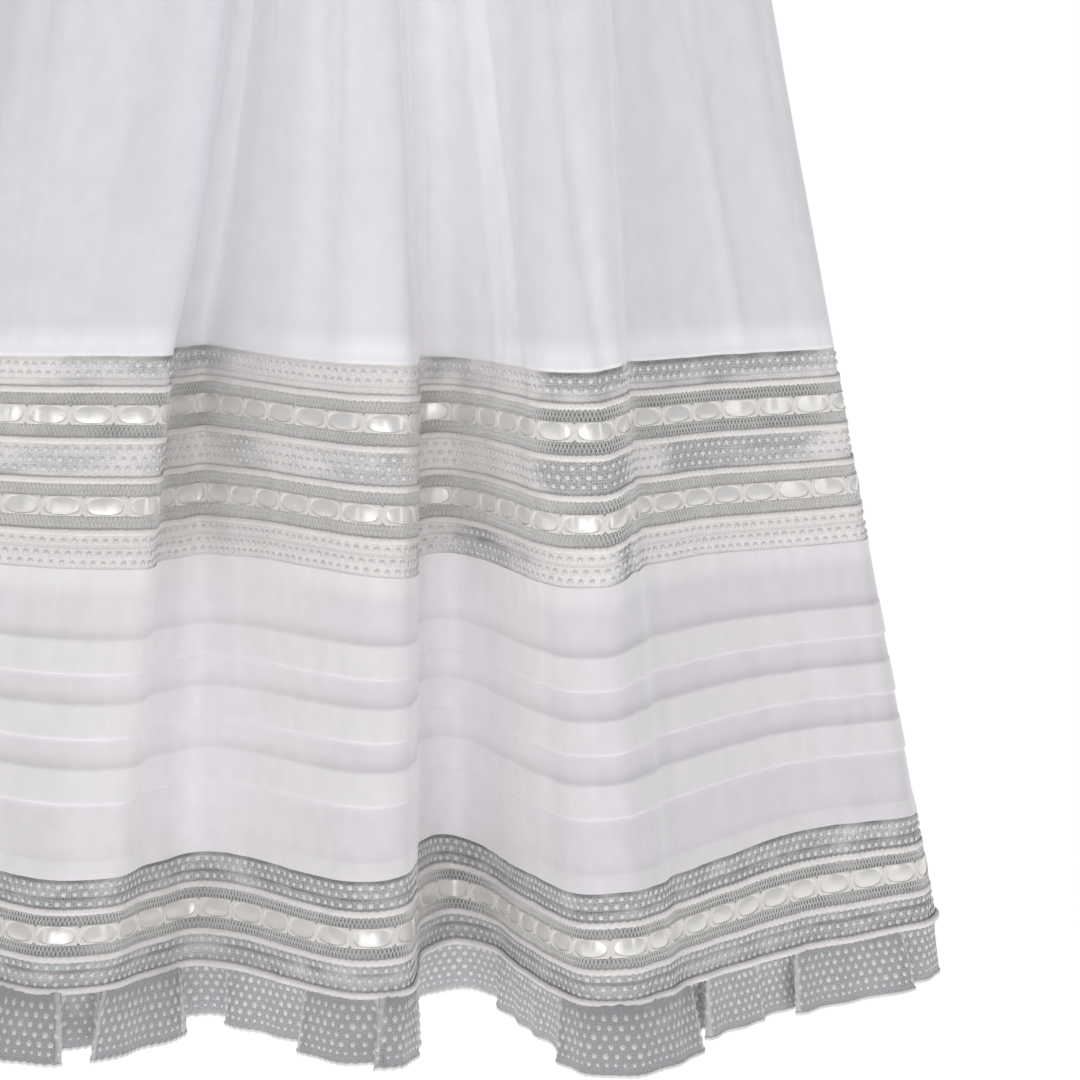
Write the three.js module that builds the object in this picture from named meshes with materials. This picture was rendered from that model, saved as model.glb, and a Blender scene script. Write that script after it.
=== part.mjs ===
import * as THREE from "three";

// Lace-trim christening gown, worn form with no wearer, in millimetres.
// The origin is midway between the shoulder seams, +Z is up and the front faces -Y.
// The gown hangs from the shoulders: a short plain bodice, a long skirt gathered into it,
// a wide lace with two ribbons, a panel with three tucks, a narrower lace with one ribbon,
// and a gathered lace ruffle at the hem.

// Driving dimensions: levels down from the shoulders
const WAIST_Z = -120;
const UPPER_LACE_TOP_Z = -623;
const UPPER_LACE_BOTTOM_Z = -708;
const LOWER_LACE_TOP_Z = -826;
const RUFFLE_TOP_Z = -872;
const HEM_Z = -896;

// Driving dimensions: cloth and seams
const CLOTH = 1.2;
const RIBBON_CLOTH = 1.0;
const RUFFLE_CLOTH = 1.0;
const SEAM_GAP = 0.3;

// Driving dimensions: waist and its gathers
const WAIST_HALF_WIDTH = 93;
const WAIST_HALF_DEPTH = 70;
const GATHER_DEPTH = 2.2;
const GATHER_FADE = 45;
const SKIRT_LEVELS_BELOW_WAIST = [0, 12, 30, 65, 140, 320];

// Driving dimensions: tucks, ribbons and the ruffle
const TUCK_EDGES_Z = [-748, -773, -798];
const TUCK_HEIGHT = 14;
const TUCK_RISE = 1.4;
const RIBBON_HEIGHT = 7;
const FOLD_BOW = 25;
const BOWED_FOLD = 6;
const BOWED_FOLDS_REACH = 4.5;
const RUFFLE_SWING = 17;
const RUFFLE_CROWN = 1.08;
const RUFFLE_TOP_SHARE = 0.07;
const RUFFLE_LEAN = 2.6;
const RUFFLE_TOP_LEAN_SHARE = -0.5;
const RUFFLE_MIDDLE_LEVEL = 0.4;
const RUFFLE_STRAIGHT = 0.92;
const RUFFLE_TURNED_FOLDS = 2.5;
const MITER_LIMIT = 1.6;

// The straight panels below the skirt, each a seam gap under its neighbour
const UPPER_LACE = { top: UPPER_LACE_TOP_Z - SEAM_GAP, bottom: UPPER_LACE_BOTTOM_Z };
const TUCK_PANEL = { top: UPPER_LACE_BOTTOM_Z - SEAM_GAP, bottom: LOWER_LACE_TOP_Z };
const LOWER_LACE = { top: LOWER_LACE_TOP_Z - SEAM_GAP, bottom: RUFFLE_TOP_Z };
const RIBBONS = [
  { name: "ribbon_upper_1", lace: UPPER_LACE, z: -647 },
  { name: "ribbon_upper_2", lace: UPPER_LACE, z: -682.5 },
  { name: "ribbon_lower", lace: LOWER_LACE, z: -849 },
];

// Driving dimensions: bodice
const BODICE_HALF_WIDTH = 91;
const BODICE_HALF_DEPTH = 68;
const UNDERARM_Z = -62;
const NECK_SHARE = 0.42;
const ARMHOLE_SHARE = 0.78;
const FRONT_NECK_DROP = 40;
const BACK_NECK_DROP = 24;
const BACK_LAP = 8;
const BUTTON_RADIUS = 4.5;
const BUTTON_HEIGHT = 2.2;
const BUTTON_LEVELS_Z = [-44, -76, -106];
const BODICE_ROWS = 8;
const HALF_SIDES = [0.14, 0.26, 0.35, 0.4, NECK_SHARE, 0.6, ARMHOLE_SHARE, 0.8, 0.85, 0.91, 0.96];

// Folds of the skirt, counter-clockwise from the gown's right side seam: across and out are
// the place of each crest, flank or valley at the top of the upper lace, and wide and deep
// are its place at the top of the ruffle. Out and deep are positive towards the front.
const FRONT_FOLDS = [
  { fold: "side seam", across: -188, out: 0, wide: -235, deep: 0 },
  { fold: "side roll", across: -178, out: 30, wide: -224, deep: 40 },
  { fold: "side dip", across: -158, out: 40, wide: -196, deep: 62 },
  { fold: "outer flank", across: -140, out: 44, wide: -166, deep: 92 },
  { fold: "outer crest", across: -118, out: 44, wide: -140, deep: 118 },
  { fold: "outer edge", across: -89, out: 42, wide: -117, deep: 112 },
  { fold: "outer tuck-in", across: -88, out: 4, wide: -102, deep: 88 },
  { fold: "left valley", across: -76, out: -8, wide: -83, deep: 68 },
  { fold: "left rise", across: -62, out: 14, wide: -63, deep: 80 },
  { fold: "left flank", across: -36, out: 52, wide: -39, deep: 109 },
  { fold: "middle crest", across: -10, out: 72, wide: -15, deep: 134 },
  { fold: "middle edge", across: 8, out: 72, wide: 2, deep: 131 },
  { fold: "middle turn", across: 13, out: 56, wide: 9, deep: 104 },
  { fold: "deep drop", across: 14, out: 36, wide: 12, deep: 58 },
  { fold: "deep valley", across: 26, out: 38, wide: 27, deep: 34 },
  { fold: "deep rise", across: 38, out: 56, wide: 43, deep: 48 },
  { fold: "right flank", across: 50, out: 82, wide: 53, deep: 88 },
  { fold: "right shoulder", across: 61, out: 104, wide: 64, deep: 124 },
  { fold: "right crest", across: 73, out: 110, wide: 78, deep: 150 },
  { fold: "crest far side", across: 86, out: 106, wide: 94, deep: 152 },
  { fold: "step edge", across: 94, out: 92, wide: 107, deep: 138 },
  { fold: "step foot", across: 98, out: 66, wide: 117, deep: 118 },
  { fold: "plane start", across: 113, out: 54, wide: 130, deep: 100 },
  { fold: "plane middle", across: 134, out: 35, wide: 153, deep: 73 },
  { fold: "plane end", across: 157, out: 21, wide: 178, deep: 47 },
  { fold: "side turn", across: 178, out: 11, wide: 206, deep: 28 },
  { fold: "side edge", across: 187, out: 4, wide: 228, deep: 13 },
];
const BACK_FOLDS = [
  { fold: "side seam", across: 188, out: -6, wide: 235, deep: -4 },
  { fold: "side roll", across: 182, out: -26, wide: 228, deep: -36 },
  { fold: "side crest", across: 170, out: -48, wide: 212, deep: -74 },
  { fold: "side dip", across: 150, out: -54, wide: 188, deep: -78 },
  { fold: "first flank", across: 128, out: -76, wide: 164, deep: -114 },
  { fold: "first crest", across: 104, out: -92, wide: 138, deep: -142 },
  { fold: "first fall", across: 84, out: -84, wide: 112, deep: -122 },
  { fold: "first valley", across: 66, out: -70, wide: 90, deep: -90 },
  { fold: "centre flank", across: 46, out: -80, wide: 66, deep: -102 },
  { fold: "centre rise", across: 26, out: -98, wide: 40, deep: -140 },
  { fold: "centre crest", across: 4, out: -106, wide: 14, deep: -157 },
  { fold: "centre fall", across: -16, out: -98, wide: -12, deep: -146 },
  { fold: "centre foot", across: -32, out: -82, wide: -32, deep: -113 },
  { fold: "second valley", across: -50, out: -74, wide: -54, deep: -93 },
  { fold: "second flank", across: -72, out: -84, wide: -80, deep: -117 },
  { fold: "second crest", across: -94, out: -94, wide: -108, deep: -147 },
  { fold: "second fall", across: -114, out: -84, wide: -134, deep: -132 },
  { fold: "third valley", across: -134, out: -66, wide: -157, deep: -100 },
  { fold: "third flank", across: -154, out: -58, wide: -181, deep: -90 },
  { fold: "third crest", across: -172, out: -42, wide: -207, deep: -73 },
  { fold: "side turn", across: -184, out: -20, wide: -227, deep: -38 },
];
const FOLDS = [...FRONT_FOLDS, ...BACK_FOLDS];
const FRONT_END = FRONT_FOLDS.length;
const STEPS_PER_FOLD = 2;

// Box-like gathers of the ruffle's front: each stretch runs until a turn, counted in fold rows
// from the first side seam, and its lower edge swings out (1) or in (-1) from the lace above
const FRONT_RUFFLE = [
  { until: 1.0, swing: -0.4 },
  { until: 2.2, swing: 0.8 },
  { until: 3.0, swing: -0.8 },
  { until: 4.3, swing: 0.9 },
  { until: 5.0, swing: -0.5 },
  { until: 6.85, swing: 0.95 },
  { until: 7.8, swing: -1 },
  { until: 9.15, swing: -0.25 },
  { until: 10.5, swing: 0.5 },
  { until: 12.1, swing: 0.85 },
  { until: 15.1, swing: -1 },
  { until: 17.2, swing: -0.2 },
  { until: 21.2, swing: 0.9 },
  { until: 21.8, swing: -1 },
  { until: 22.9, swing: 0 },
  { until: 23.6, swing: -0.25 },
  { until: 25.45, swing: 0.35 },
  { until: 27, swing: -0.15 },
];

// The hidden back of the ruffle has gathers of the same kind, unevenly spaced
const BACK_RUFFLE_STRETCHES = 20;
const BACK_RUFFLE_UNEVEN = 0.2;
const BACK_RUFFLE_SWINGS = [0.7, -0.9, 0.5, -0.7];

const MATERIALS = {
  batiste: { color: 0xe6e3eb, roughness: 0.85 },
  lace: { color: 0xa9aeab, roughness: 0.8 },
  ribbon: { color: 0xf4f3f1, roughness: 0.3 },
  button: { color: 0xefece6, roughness: 0.25 },
};

const group = new THREE.Group();

function addPiece(name, geometry, material) {
  const mesh = new THREE.Mesh(
    geometry,
    new THREE.MeshStandardMaterial({ ...MATERIALS[material], metalness: 0 }),
  );
  mesh.name = name;
  group.add(mesh);
  return mesh;
}

function mix(a, b, share) {
  return a + (b - a) * share;
}

function smoothStep(low, high, value) {
  const share = Math.min(1, Math.max(0, (value - low) / (high - low)));
  return share * share * (3 - 2 * share);
}

// Place of every fold row round the gown at the ruffle, as a share of its half
function shareRound(folds, closing) {
  const rows = [...folds, closing];
  const along = [0];
  for (let i = 1; i < rows.length; i += 1) {
    const [from, to] = [rows[i - 1], rows[i]];
    along.push(along[i - 1] + Math.hypot(to.wide - from.wide, to.deep - from.deep));
  }
  return along.slice(0, -1).map((length) => length / along[along.length - 1]);
}

const SHARES = [
  ...shareRound(FRONT_FOLDS, BACK_FOLDS[0]),
  ...shareRound(BACK_FOLDS, FRONT_FOLDS[0]).map((share) => 1 + share),
];

// The left front fold leans inwards on its way up, and back again at the waist
function bowOf(index, upper) {
  const away = Math.abs(index - BOWED_FOLD) / BOWED_FOLDS_REACH;
  const here = away < 1 ? Math.cos((away * Math.PI) / 2) ** 2 : 0;
  return FOLD_BOW * here * 4 * upper * (1 - upper);
}

// Plan of the gown at one level, as one point for each fold row
function foldPoints(z) {
  const upper = (WAIST_Z - z) / (WAIST_Z - UPPER_LACE_TOP_Z);
  const lower = (UPPER_LACE_TOP_Z - z) / (UPPER_LACE_TOP_Z - RUFFLE_TOP_Z);
  return FOLDS.map((row, i) => {
    if (z < UPPER_LACE_TOP_Z) {
      return [mix(row.across, row.wide, lower), -mix(row.out, row.deep, lower)];
    }
    const angle = SHARES[i] * Math.PI;
    const waistX = -WAIST_HALF_WIDTH * Math.cos(angle);
    const waistY = -WAIST_HALF_DEPTH * Math.sin(angle);
    return [mix(waistX, row.across, upper) + bowOf(i, upper), mix(waistY, -row.out, upper)];
  });
}

// Closed curve through the fold points: its place and its outward direction at one turn,
// which counts fold rows, so that 7.5 lies halfway between rows 7 and 8
function curveAt(points, turn) {
  const count = points.length;
  const start = Math.floor(turn);
  const f = turn - start;
  const [a, b, c, d] = [-1, 0, 1, 2].map((step) => points[(start + step + count) % count]);
  const knot = (p, q) => Math.sqrt(Math.hypot(q[0] - p[0], q[1] - p[1]));
  const [before, here, after] = [knot(a, b), knot(b, c), knot(c, d)];
  const place = [];
  const slope = [];
  for (const k of [0, 1]) {
    const rise = (c[k] - b[k]) / here;
    const from = (((b[k] - a[k]) / before) * here + rise * before) / (before + here) * here;
    const to = (rise * after + ((d[k] - c[k]) / after) * here) / (here + after) * here;
    const bend = 2 * b[k] - 2 * c[k] + from + to;
    const lean = 3 * c[k] - 3 * b[k] - 2 * from - to;
    place.push(((bend * f + lean) * f + from) * f + b[k]);
    slope.push((3 * bend * f + 2 * lean) * f + from);
  }
  const length = Math.hypot(slope[0], slope[1]);
  return { x: place[0], y: place[1], nx: slope[1] / length, ny: -slope[0] / length };
}

// Turns of the columns of one half, its two ends drawn in by half a seam gap
function halfTurns(first, last) {
  const turns = [];
  for (let step = 0; step <= (last - first) * STEPS_PER_FOLD; step += 1) {
    turns.push(first + step / STEPS_PER_FOLD);
  }
  const points = foldPoints(RUFFLE_TOP_Z);
  const inset = (a, b) => {
    const p = points[a % points.length];
    const q = points[b % points.length];
    return SEAM_GAP / Math.hypot(q[0] - p[0], q[1] - p[1]);
  };
  turns[0] += inset(first, first + 1);
  turns[turns.length - 1] -= inset(last - 1, last);
  return turns;
}

const HALVES = [
  { side: "front", turns: halfTurns(0, FRONT_END) },
  { side: "back", turns: halfTurns(FRONT_END, FOLDS.length) },
];
const ROUND_TURNS = FOLDS.flatMap((row, i) => [i, i + 1 / STEPS_PER_FOLD]);

// A cloth wall between outer and inner rows of points, each row from one end to the other and
// the rows from top to bottom. Closed walls run all round, open ones get an end at each side.
function wallGeometry(outer, inner, closed) {
  const columns = outer[0].length;
  const points = [...outer.flat(), ...inner.flat()];
  const out = (r, c) => r * columns + (c % columns);
  const into = (r, c) => outer.length * columns + r * columns + (c % columns);
  const faces = [];
  const quad = (a, b, c, d) => faces.push(a, b, c, a, c, d);
  const spans = closed ? columns : columns - 1;
  for (let c = 0; c < spans; c += 1) {
    for (let r = 0; r < outer.length - 1; r += 1) {
      quad(out(r + 1, c), out(r + 1, c + 1), out(r, c + 1), out(r, c));
    }
    for (let r = 0; r < inner.length - 1; r += 1) {
      quad(into(r, c), into(r, c + 1), into(r + 1, c + 1), into(r + 1, c));
    }
    quad(out(0, c), out(0, c + 1), into(0, c + 1), into(0, c));
    const [low, lowIn] = [outer.length - 1, inner.length - 1];
    quad(into(lowIn, c), into(lowIn, c + 1), out(low, c + 1), out(low, c));
  }
  if (!closed) {
    for (const c of [0, columns - 1]) {
      closeEnd(faces, outer.length, inner.length, (r) => out(r, c), (r) => into(r, c), c > 0);
    }
  }
  const geometry = new THREE.BufferGeometry();
  geometry.setAttribute("position", new THREE.Float32BufferAttribute(points.flat(), 3));
  geometry.setIndex(faces);
  geometry.computeVertexNormals();
  return geometry;
}

// Joins the outer and inner points of one end of a wall, from top to bottom
function closeEnd(faces, outerCount, innerCount, outer, inner, last) {
  const triangle = (a, b, c) => (last ? faces.push(a, c, b) : faces.push(a, b, c));
  let o = 0;
  let i = 0;
  while (o < outerCount - 1 || i < innerCount - 1) {
    const outerShare = (o + 1) / (outerCount - 1);
    const innerShare = (i + 1) / (innerCount - 1);
    if (i === innerCount - 1 || (o < outerCount - 1 && outerShare <= innerShare)) {
      triangle(outer(o + 1), outer(o), inner(i));
      o += 1;
    } else {
      triangle(outer(o), inner(i), inner(i + 1));
      i += 1;
    }
  }
}

// One row of skirt points at a level, moved out of the middle of the cloth by a distance
function skirtRow(turns, z, distance, gathers = 0) {
  const points = foldPoints(z);
  return turns.map((turn, c) => {
    const at = curveAt(points, turn);
    const move = distance + (c % 2 === 0 ? gathers : -gathers);
    return [at.x + at.nx * move, at.y + at.ny * move, z];
  });
}

function skirtPanel(turns) {
  const levels = [...SKIRT_LEVELS_BELOW_WAIST.map((drop) => WAIST_Z - drop), UPPER_LACE_TOP_Z];
  levels[0] -= SEAM_GAP;
  const gathersAt = (z) => {
    const depth = GATHER_DEPTH * Math.exp((z - WAIST_Z) / GATHER_FADE);
    return z > UPPER_LACE_TOP_Z ? depth : 0;
  };
  const rows = (distance) => levels.map((z) => skirtRow(turns, z, distance, gathersAt(z)));
  return wallGeometry(rows(CLOTH / 2), rows(-CLOTH / 2), false);
}

// One row on a straight panel, at a level between its top and its bottom
function panelRow(turns, panel, z, distance) {
  const upper = skirtRow(turns, panel.top, distance);
  const lower = skirtRow(turns, panel.bottom, distance);
  const share = (panel.top - z) / (panel.top - panel.bottom);
  return upper.map((point, c) => point.map((value, k) => mix(value, lower[c][k], share)));
}

// A plain band that lies on a panel, its middle at a distance from the panel's own middle
function plainBand(turns, panel, levels, middle, cloth, closed) {
  const rows = (distance) => levels.map((z) => panelRow(turns, panel, z, distance));
  return wallGeometry(rows(middle + cloth / 2), rows(middle - cloth / 2), closed);
}

// A lace has a row of points at each edge of the ribbons that lie on it
function lacePanel(turns, panel) {
  const ribbonEdges = RIBBONS.filter(({ lace }) => lace === panel).flatMap(({ z }) => edgesOf(z));
  return plainBand(turns, panel, [panel.top, ...ribbonEdges, panel.bottom], 0, CLOTH, false);
}

function edgesOf(z) {
  return [z + RIBBON_HEIGHT / 2, z - RIBBON_HEIGHT / 2];
}

// The panel between the laces: each tuck is a doubled fold that lies downwards on the outside
function tuckPanel(turns) {
  const row = (z, distance) => panelRow(turns, TUCK_PANEL, z, distance);
  const { top, bottom } = TUCK_PANEL;
  const outer = [row(top, CLOTH / 2)];
  for (const edge of TUCK_EDGES_Z) {
    outer.push(row(edge + TUCK_HEIGHT, CLOTH / 2));
    outer.push(row(edge, CLOTH / 2 + TUCK_RISE));
    outer.push(row(edge, CLOTH / 2));
  }
  outer.push(row(bottom, CLOTH / 2));
  const inner = [top, ...TUCK_EDGES_Z, bottom].map((z) => row(z, -CLOTH / 2));
  return wallGeometry(outer, inner, false);
}

// The back's ruffle: its first and last stretches go on from those of the front
function backRuffle() {
  const span = FOLDS.length - FRONT_END;
  const stretches = [];
  for (let i = 1; i <= BACK_RUFFLE_STRETCHES; i += 1) {
    const uneven = i < BACK_RUFFLE_STRETCHES ? BACK_RUFFLE_UNEVEN * Math.sin(i * 2.4) : 0;
    const until = FRONT_END + (span * (i + uneven)) / BACK_RUFFLE_STRETCHES;
    stretches.push({ until, swing: BACK_RUFFLE_SWINGS[i % BACK_RUFFLE_SWINGS.length] });
  }
  stretches[0].swing = FRONT_RUFFLE[FRONT_RUFFLE.length - 1].swing;
  stretches[stretches.length - 1].swing = FRONT_RUFFLE[0].swing;
  return stretches;
}

// Columns of one half of the ruffle: each stretch has a start, one or more middles and an end,
// and leans over its neighbour at both ends
function ruffleColumns(stretches, [first, last]) {
  const columns = [];
  let start = first;
  stretches.forEach(({ until, swing }, i) => {
    const end = i === stretches.length - 1 ? last : until;
    const middles = Math.max(1, Math.round(end - start));
    columns.push({ turn: start, swing, lean: i === 0 ? 0 : -1 });
    for (let m = 1; m <= middles; m += 1) {
      columns.push({ turn: mix(start, end, m / (middles + 1)), swing: swing * RUFFLE_CROWN, lean: 0 });
    }
    columns.push({ turn: end, swing, lean: i === stretches.length - 1 ? 0 : 1 });
    start = end;
  });
  return columns;
}

// The ruffle swings square to the cloth at the side seams, and nearly straight to the front or
// back away from them, so that its gathers hang under the folds instead of fanning out
function ruffleMiddle(columns, z, facing) {
  const points = foldPoints(z);
  const [first, last] = [columns[0].turn, columns[columns.length - 1].turn];
  const fall = (RUFFLE_TOP_Z - z) / (RUFFLE_TOP_Z - HEM_Z);
  const share = mix(RUFFLE_TOP_SHARE, 1, Math.sqrt(fall));
  return columns.map(({ turn, swing, lean }) => {
    const at = curveAt(points, turn);
    const fromSeam = Math.min(turn - first, last - turn);
    const straight = RUFFLE_STRAIGHT * smoothStep(0, RUFFLE_TURNED_FOLDS, fromSeam);
    const toX = at.nx * (1 - straight);
    const toY = mix(at.ny, facing, straight);
    const move = (swing * RUFFLE_SWING * share) / Math.hypot(toX, toY);
    const slide = lean * RUFFLE_LEAN * mix(RUFFLE_TOP_LEAN_SHARE, 1, share);
    return [at.x + toX * move - at.ny * slide, at.y + toY * move + at.nx * slide, z];
  });
}

// Moves a row of points sideways by a distance, across its own direction in plan
function offsetRow(row, distance) {
  return row.map((point, c) => {
    const before = row[Math.max(0, c - 1)];
    const after = row[Math.min(row.length - 1, c + 1)];
    const unit = (p, q) => {
      const length = Math.hypot(q[0] - p[0], q[1] - p[1]) || 1;
      return [(q[0] - p[0]) / length, (q[1] - p[1]) / length];
    };
    const first = before === point ? unit(point, after) : unit(before, point);
    const second = after === point ? first : unit(point, after);
    const across = [first[1] + second[1], -first[0] - second[0]];
    const length = Math.hypot(across[0], across[1]);
    const miter = Math.min(MITER_LIMIT, 2 / length);
    return [
      point[0] + (across[0] / length) * distance * miter,
      point[1] + (across[1] / length) * distance * miter,
      point[2],
    ];
  });
}

function ruffle(stretches, ends, facing) {
  const columns = ruffleColumns(stretches, ends);
  const levels = [RUFFLE_TOP_Z - SEAM_GAP, mix(RUFFLE_TOP_Z, HEM_Z, RUFFLE_MIDDLE_LEVEL), HEM_Z];
  const middle = levels.map((z) => ruffleMiddle(columns, z, facing));
  const outer = middle.map((row) => offsetRow(row, RUFFLE_CLOTH / 2));
  const inner = middle.map((row) => offsetRow(row, -RUFFLE_CLOTH / 2));
  return wallGeometry(outer, inner, false);
}

// Bodice surface: side runs from -1 to 1 across the body, climb is the length up the cloth from
// the waist, straight to the underarm and then in a quarter round over the shoulder
const BODICE_STRAIGHT = UNDERARM_Z - WAIST_Z;
const SHOULDER_ARC = (Math.PI / 4) * (BODICE_HALF_DEPTH - UNDERARM_Z);

function bodicePoint(side, climb, facing, moved) {
  const place = (s, up) => {
    const angle = Math.asin(s);
    const over = Math.max(0, (up - BODICE_STRAIGHT) / SHOULDER_ARC) * (Math.PI / 2);
    const z = up <= BODICE_STRAIGHT ? WAIST_Z + up : UNDERARM_Z - UNDERARM_Z * Math.sin(over);
    const depth = BODICE_HALF_DEPTH * Math.cos(angle) * Math.cos(over);
    return new THREE.Vector3(BODICE_HALF_WIDTH * s, facing * depth, z);
  };
  const nudge = 1e-3;
  const inwards = side > 0 ? -nudge : nudge;
  const here = place(side, climb);
  const across = place(side + inwards, climb).sub(here).multiplyScalar(Math.sign(inwards));
  const upwards = here.clone().sub(place(side, climb - nudge));
  const normal = across.cross(upwards).normalize().multiplyScalar(-facing);
  return here.addScaledVector(normal, moved).toArray();
}

function climbOf(z) {
  if (z <= UNDERARM_Z) {
    return z - WAIST_Z;
  }
  return BODICE_STRAIGHT + (SHOULDER_ARC * Math.asin((z - UNDERARM_Z) / -UNDERARM_Z)) / (Math.PI / 2);
}

// Height of the bodice's upper edge across the body: neck, shoulder, then armhole
function bodiceTop(side, neckDrop) {
  const across = Math.abs(side);
  if (across < NECK_SHARE) {
    return -neckDrop * Math.sqrt(1 - (across / NECK_SHARE) ** 2);
  }
  if (across <= ARMHOLE_SHARE) {
    return 0;
  }
  const share = (across - ARMHOLE_SHARE) / (1 - ARMHOLE_SHARE);
  return UNDERARM_Z * Math.sqrt(1 - (1 - share) ** 2);
}

function bodicePanel(sides, facing, neckDrop, moveAt) {
  const half = SEAM_GAP / 2;
  const grid = (moved) => {
    const rows = [];
    for (let r = 0; r < BODICE_ROWS; r += 1) {
      const share = 1 - r / (BODICE_ROWS - 1);
      rows.push(sides.map((side) => {
        const depth = BODICE_HALF_DEPTH * Math.sqrt(1 - side * side);
        const over = Math.acos(Math.min(1, half / depth)) / (Math.PI / 2);
        const highest = BODICE_STRAIGHT + SHOULDER_ARC * over;
        const climb = Math.min(climbOf(bodiceTop(side, neckDrop)), highest) * share;
        return bodicePoint(side, climb, facing, moved + moveAt(side));
      }));
    }
    return rows;
  };
  return wallGeometry(grid(CLOTH / 2), grid(-CLOTH / 2), false);
}

function bodice() {
  const sideEnd = Math.sqrt(1 - (SEAM_GAP / 2 / BODICE_HALF_DEPTH) ** 2);
  const half = [...HALF_SIDES, sideEnd];
  const still = () => 0;
  const frontSides = [...half.map((side) => -side).reverse(), 0, ...half];
  addPiece("bodice_front", bodicePanel(frontSides, -1, FRONT_NECK_DROP, still), "batiste");

  // The back opens down the middle: the left back laps over the right one and buttons to it
  const lap = BACK_LAP / BODICE_HALF_WIDTH;
  const lapClear = 1.2 * lap;
  const lapStart = 2.2 * lap;
  const rise = CLOTH + SEAM_GAP;
  const raised = (side) => rise * (1 - smoothStep(lapClear, lapStart, side));
  const leftSides = [...half].reverse();
  leftSides.push(lapClear, 0, -lap);
  leftSides.splice(leftSides.indexOf(0.14), 1, 0.2, lapStart, 0.13);
  addPiece("bodice_back_left", bodicePanel(leftSides, 1, BACK_NECK_DROP, raised), "batiste");
  const rightSides = [lap, 0, ...half.map((side) => -side)];
  addPiece("bodice_back_right", bodicePanel(rightSides, 1, BACK_NECK_DROP, still), "batiste");
  addButtons(CLOTH / 2 + rise + SEAM_GAP);
}

function addButtons(distance) {
  const edge = BUTTON_HEIGHT / 3;
  const profile = [
    new THREE.Vector2(0, 0),
    new THREE.Vector2(BUTTON_RADIUS - edge, 0),
    new THREE.Vector2(BUTTON_RADIUS, edge),
    new THREE.Vector2(BUTTON_RADIUS, 2 * edge),
    new THREE.Vector2(BUTTON_RADIUS - edge, BUTTON_HEIGHT),
    new THREE.Vector2(0, BUTTON_HEIGHT),
  ];
  BUTTON_LEVELS_Z.forEach((z, i) => {
    const button = addPiece(`button_${i + 1}`, new THREE.LatheGeometry(profile, 16), "button");
    const seat = new THREE.Vector3(...bodicePoint(0, climbOf(z), 1, distance));
    const normal = new THREE.Vector3(...bodicePoint(0, climbOf(z), 1, distance + 1)).sub(seat);
    button.position.copy(seat);
    button.quaternion.setFromUnitVectors(new THREE.Vector3(0, 1, 0), normal);
  });
}

function skirt() {
  const ruffles = { front: FRONT_RUFFLE, back: backRuffle() };
  const facings = { front: -1, back: 1 };
  for (const { side, turns } of HALVES) {
    const ends = [turns[0], turns[turns.length - 1]];
    addPiece(`skirt_${side}`, skirtPanel(turns), "batiste");
    addPiece(`upper_lace_${side}`, lacePanel(turns, UPPER_LACE), "lace");
    addPiece(`tuck_panel_${side}`, tuckPanel(turns), "batiste");
    addPiece(`lower_lace_${side}`, lacePanel(turns, LOWER_LACE), "lace");
    addPiece(`hem_ruffle_${side}`, ruffle(ruffles[side], ends, facings[side]), "lace");
  }
}

// Ribbons lie on the outside of the laces, all round
function ribbons() {
  const middle = CLOTH / 2 + SEAM_GAP + RIBBON_CLOTH / 2;
  for (const { name, lace, z } of RIBBONS) {
    addPiece(name, plainBand(ROUND_TURNS, lace, edgesOf(z), middle, RIBBON_CLOTH, true), "ribbon");
  }
}

bodice();
skirt();
ribbons();

export default group;
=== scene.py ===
import math

import bpy
import numpy as np
from mathutils import Matrix, Vector

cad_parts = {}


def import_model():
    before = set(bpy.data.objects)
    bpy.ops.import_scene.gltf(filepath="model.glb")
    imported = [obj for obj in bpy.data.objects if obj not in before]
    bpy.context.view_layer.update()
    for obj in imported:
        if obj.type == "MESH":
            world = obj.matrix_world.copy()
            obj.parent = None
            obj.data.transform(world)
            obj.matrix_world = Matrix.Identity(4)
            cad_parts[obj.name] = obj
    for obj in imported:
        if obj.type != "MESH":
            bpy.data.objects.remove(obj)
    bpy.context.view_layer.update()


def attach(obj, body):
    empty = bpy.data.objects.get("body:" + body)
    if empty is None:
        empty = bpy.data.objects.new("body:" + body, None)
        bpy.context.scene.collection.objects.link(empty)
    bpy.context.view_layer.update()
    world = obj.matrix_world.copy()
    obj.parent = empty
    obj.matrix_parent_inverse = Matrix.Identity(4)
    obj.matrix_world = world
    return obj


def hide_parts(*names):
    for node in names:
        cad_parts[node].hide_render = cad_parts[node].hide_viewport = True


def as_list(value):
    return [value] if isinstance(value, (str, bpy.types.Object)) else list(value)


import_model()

# Sizes are in millimetres and are turned to metres when a mesh is made. The gown's levels,
# folds and ruffle are those of the solids, so each piece lies where its solid is.
MM = 0.001

# Camera
EYE = (-0.0426, -2.0697, -0.4045)
AIM = (0.0652, 0.0, -0.7073)
LENS = 165.9
SENSOR = 36.0

# Levels down from the shoulders
WAIST_Z = -120.0
UPPER_LACE_TOP_Z = -623.0
UPPER_LACE_BOTTOM_Z = -708.0
LOWER_LACE_TOP_Z = -826.0
RUFFLE_TOP_Z = -872.0
HEM_Z = -896.0

WAIST_HALF_WIDTH = 93.0
WAIST_HALF_DEPTH = 70.0
TUCK_EDGES_Z = (-748.0, -773.0, -798.0)
TUCK_HEIGHT = 14.0
TUCK_RISE = 0.9

FOLD_BOW = 25.0
BOWED_FOLD = 6.0
BOWED_FOLDS_REACH = 4.5
RUFFLE_SWING = 17.0
RUFFLE_CROWN = 1.08
RUFFLE_TOP_SHARE = 0.07
RUFFLE_LEAN = 2.6
RUFFLE_TOP_LEAN_SHARE = -0.5
RUFFLE_STRAIGHT = 0.92
RUFFLE_TURNED_FOLDS = 2.5

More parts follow.
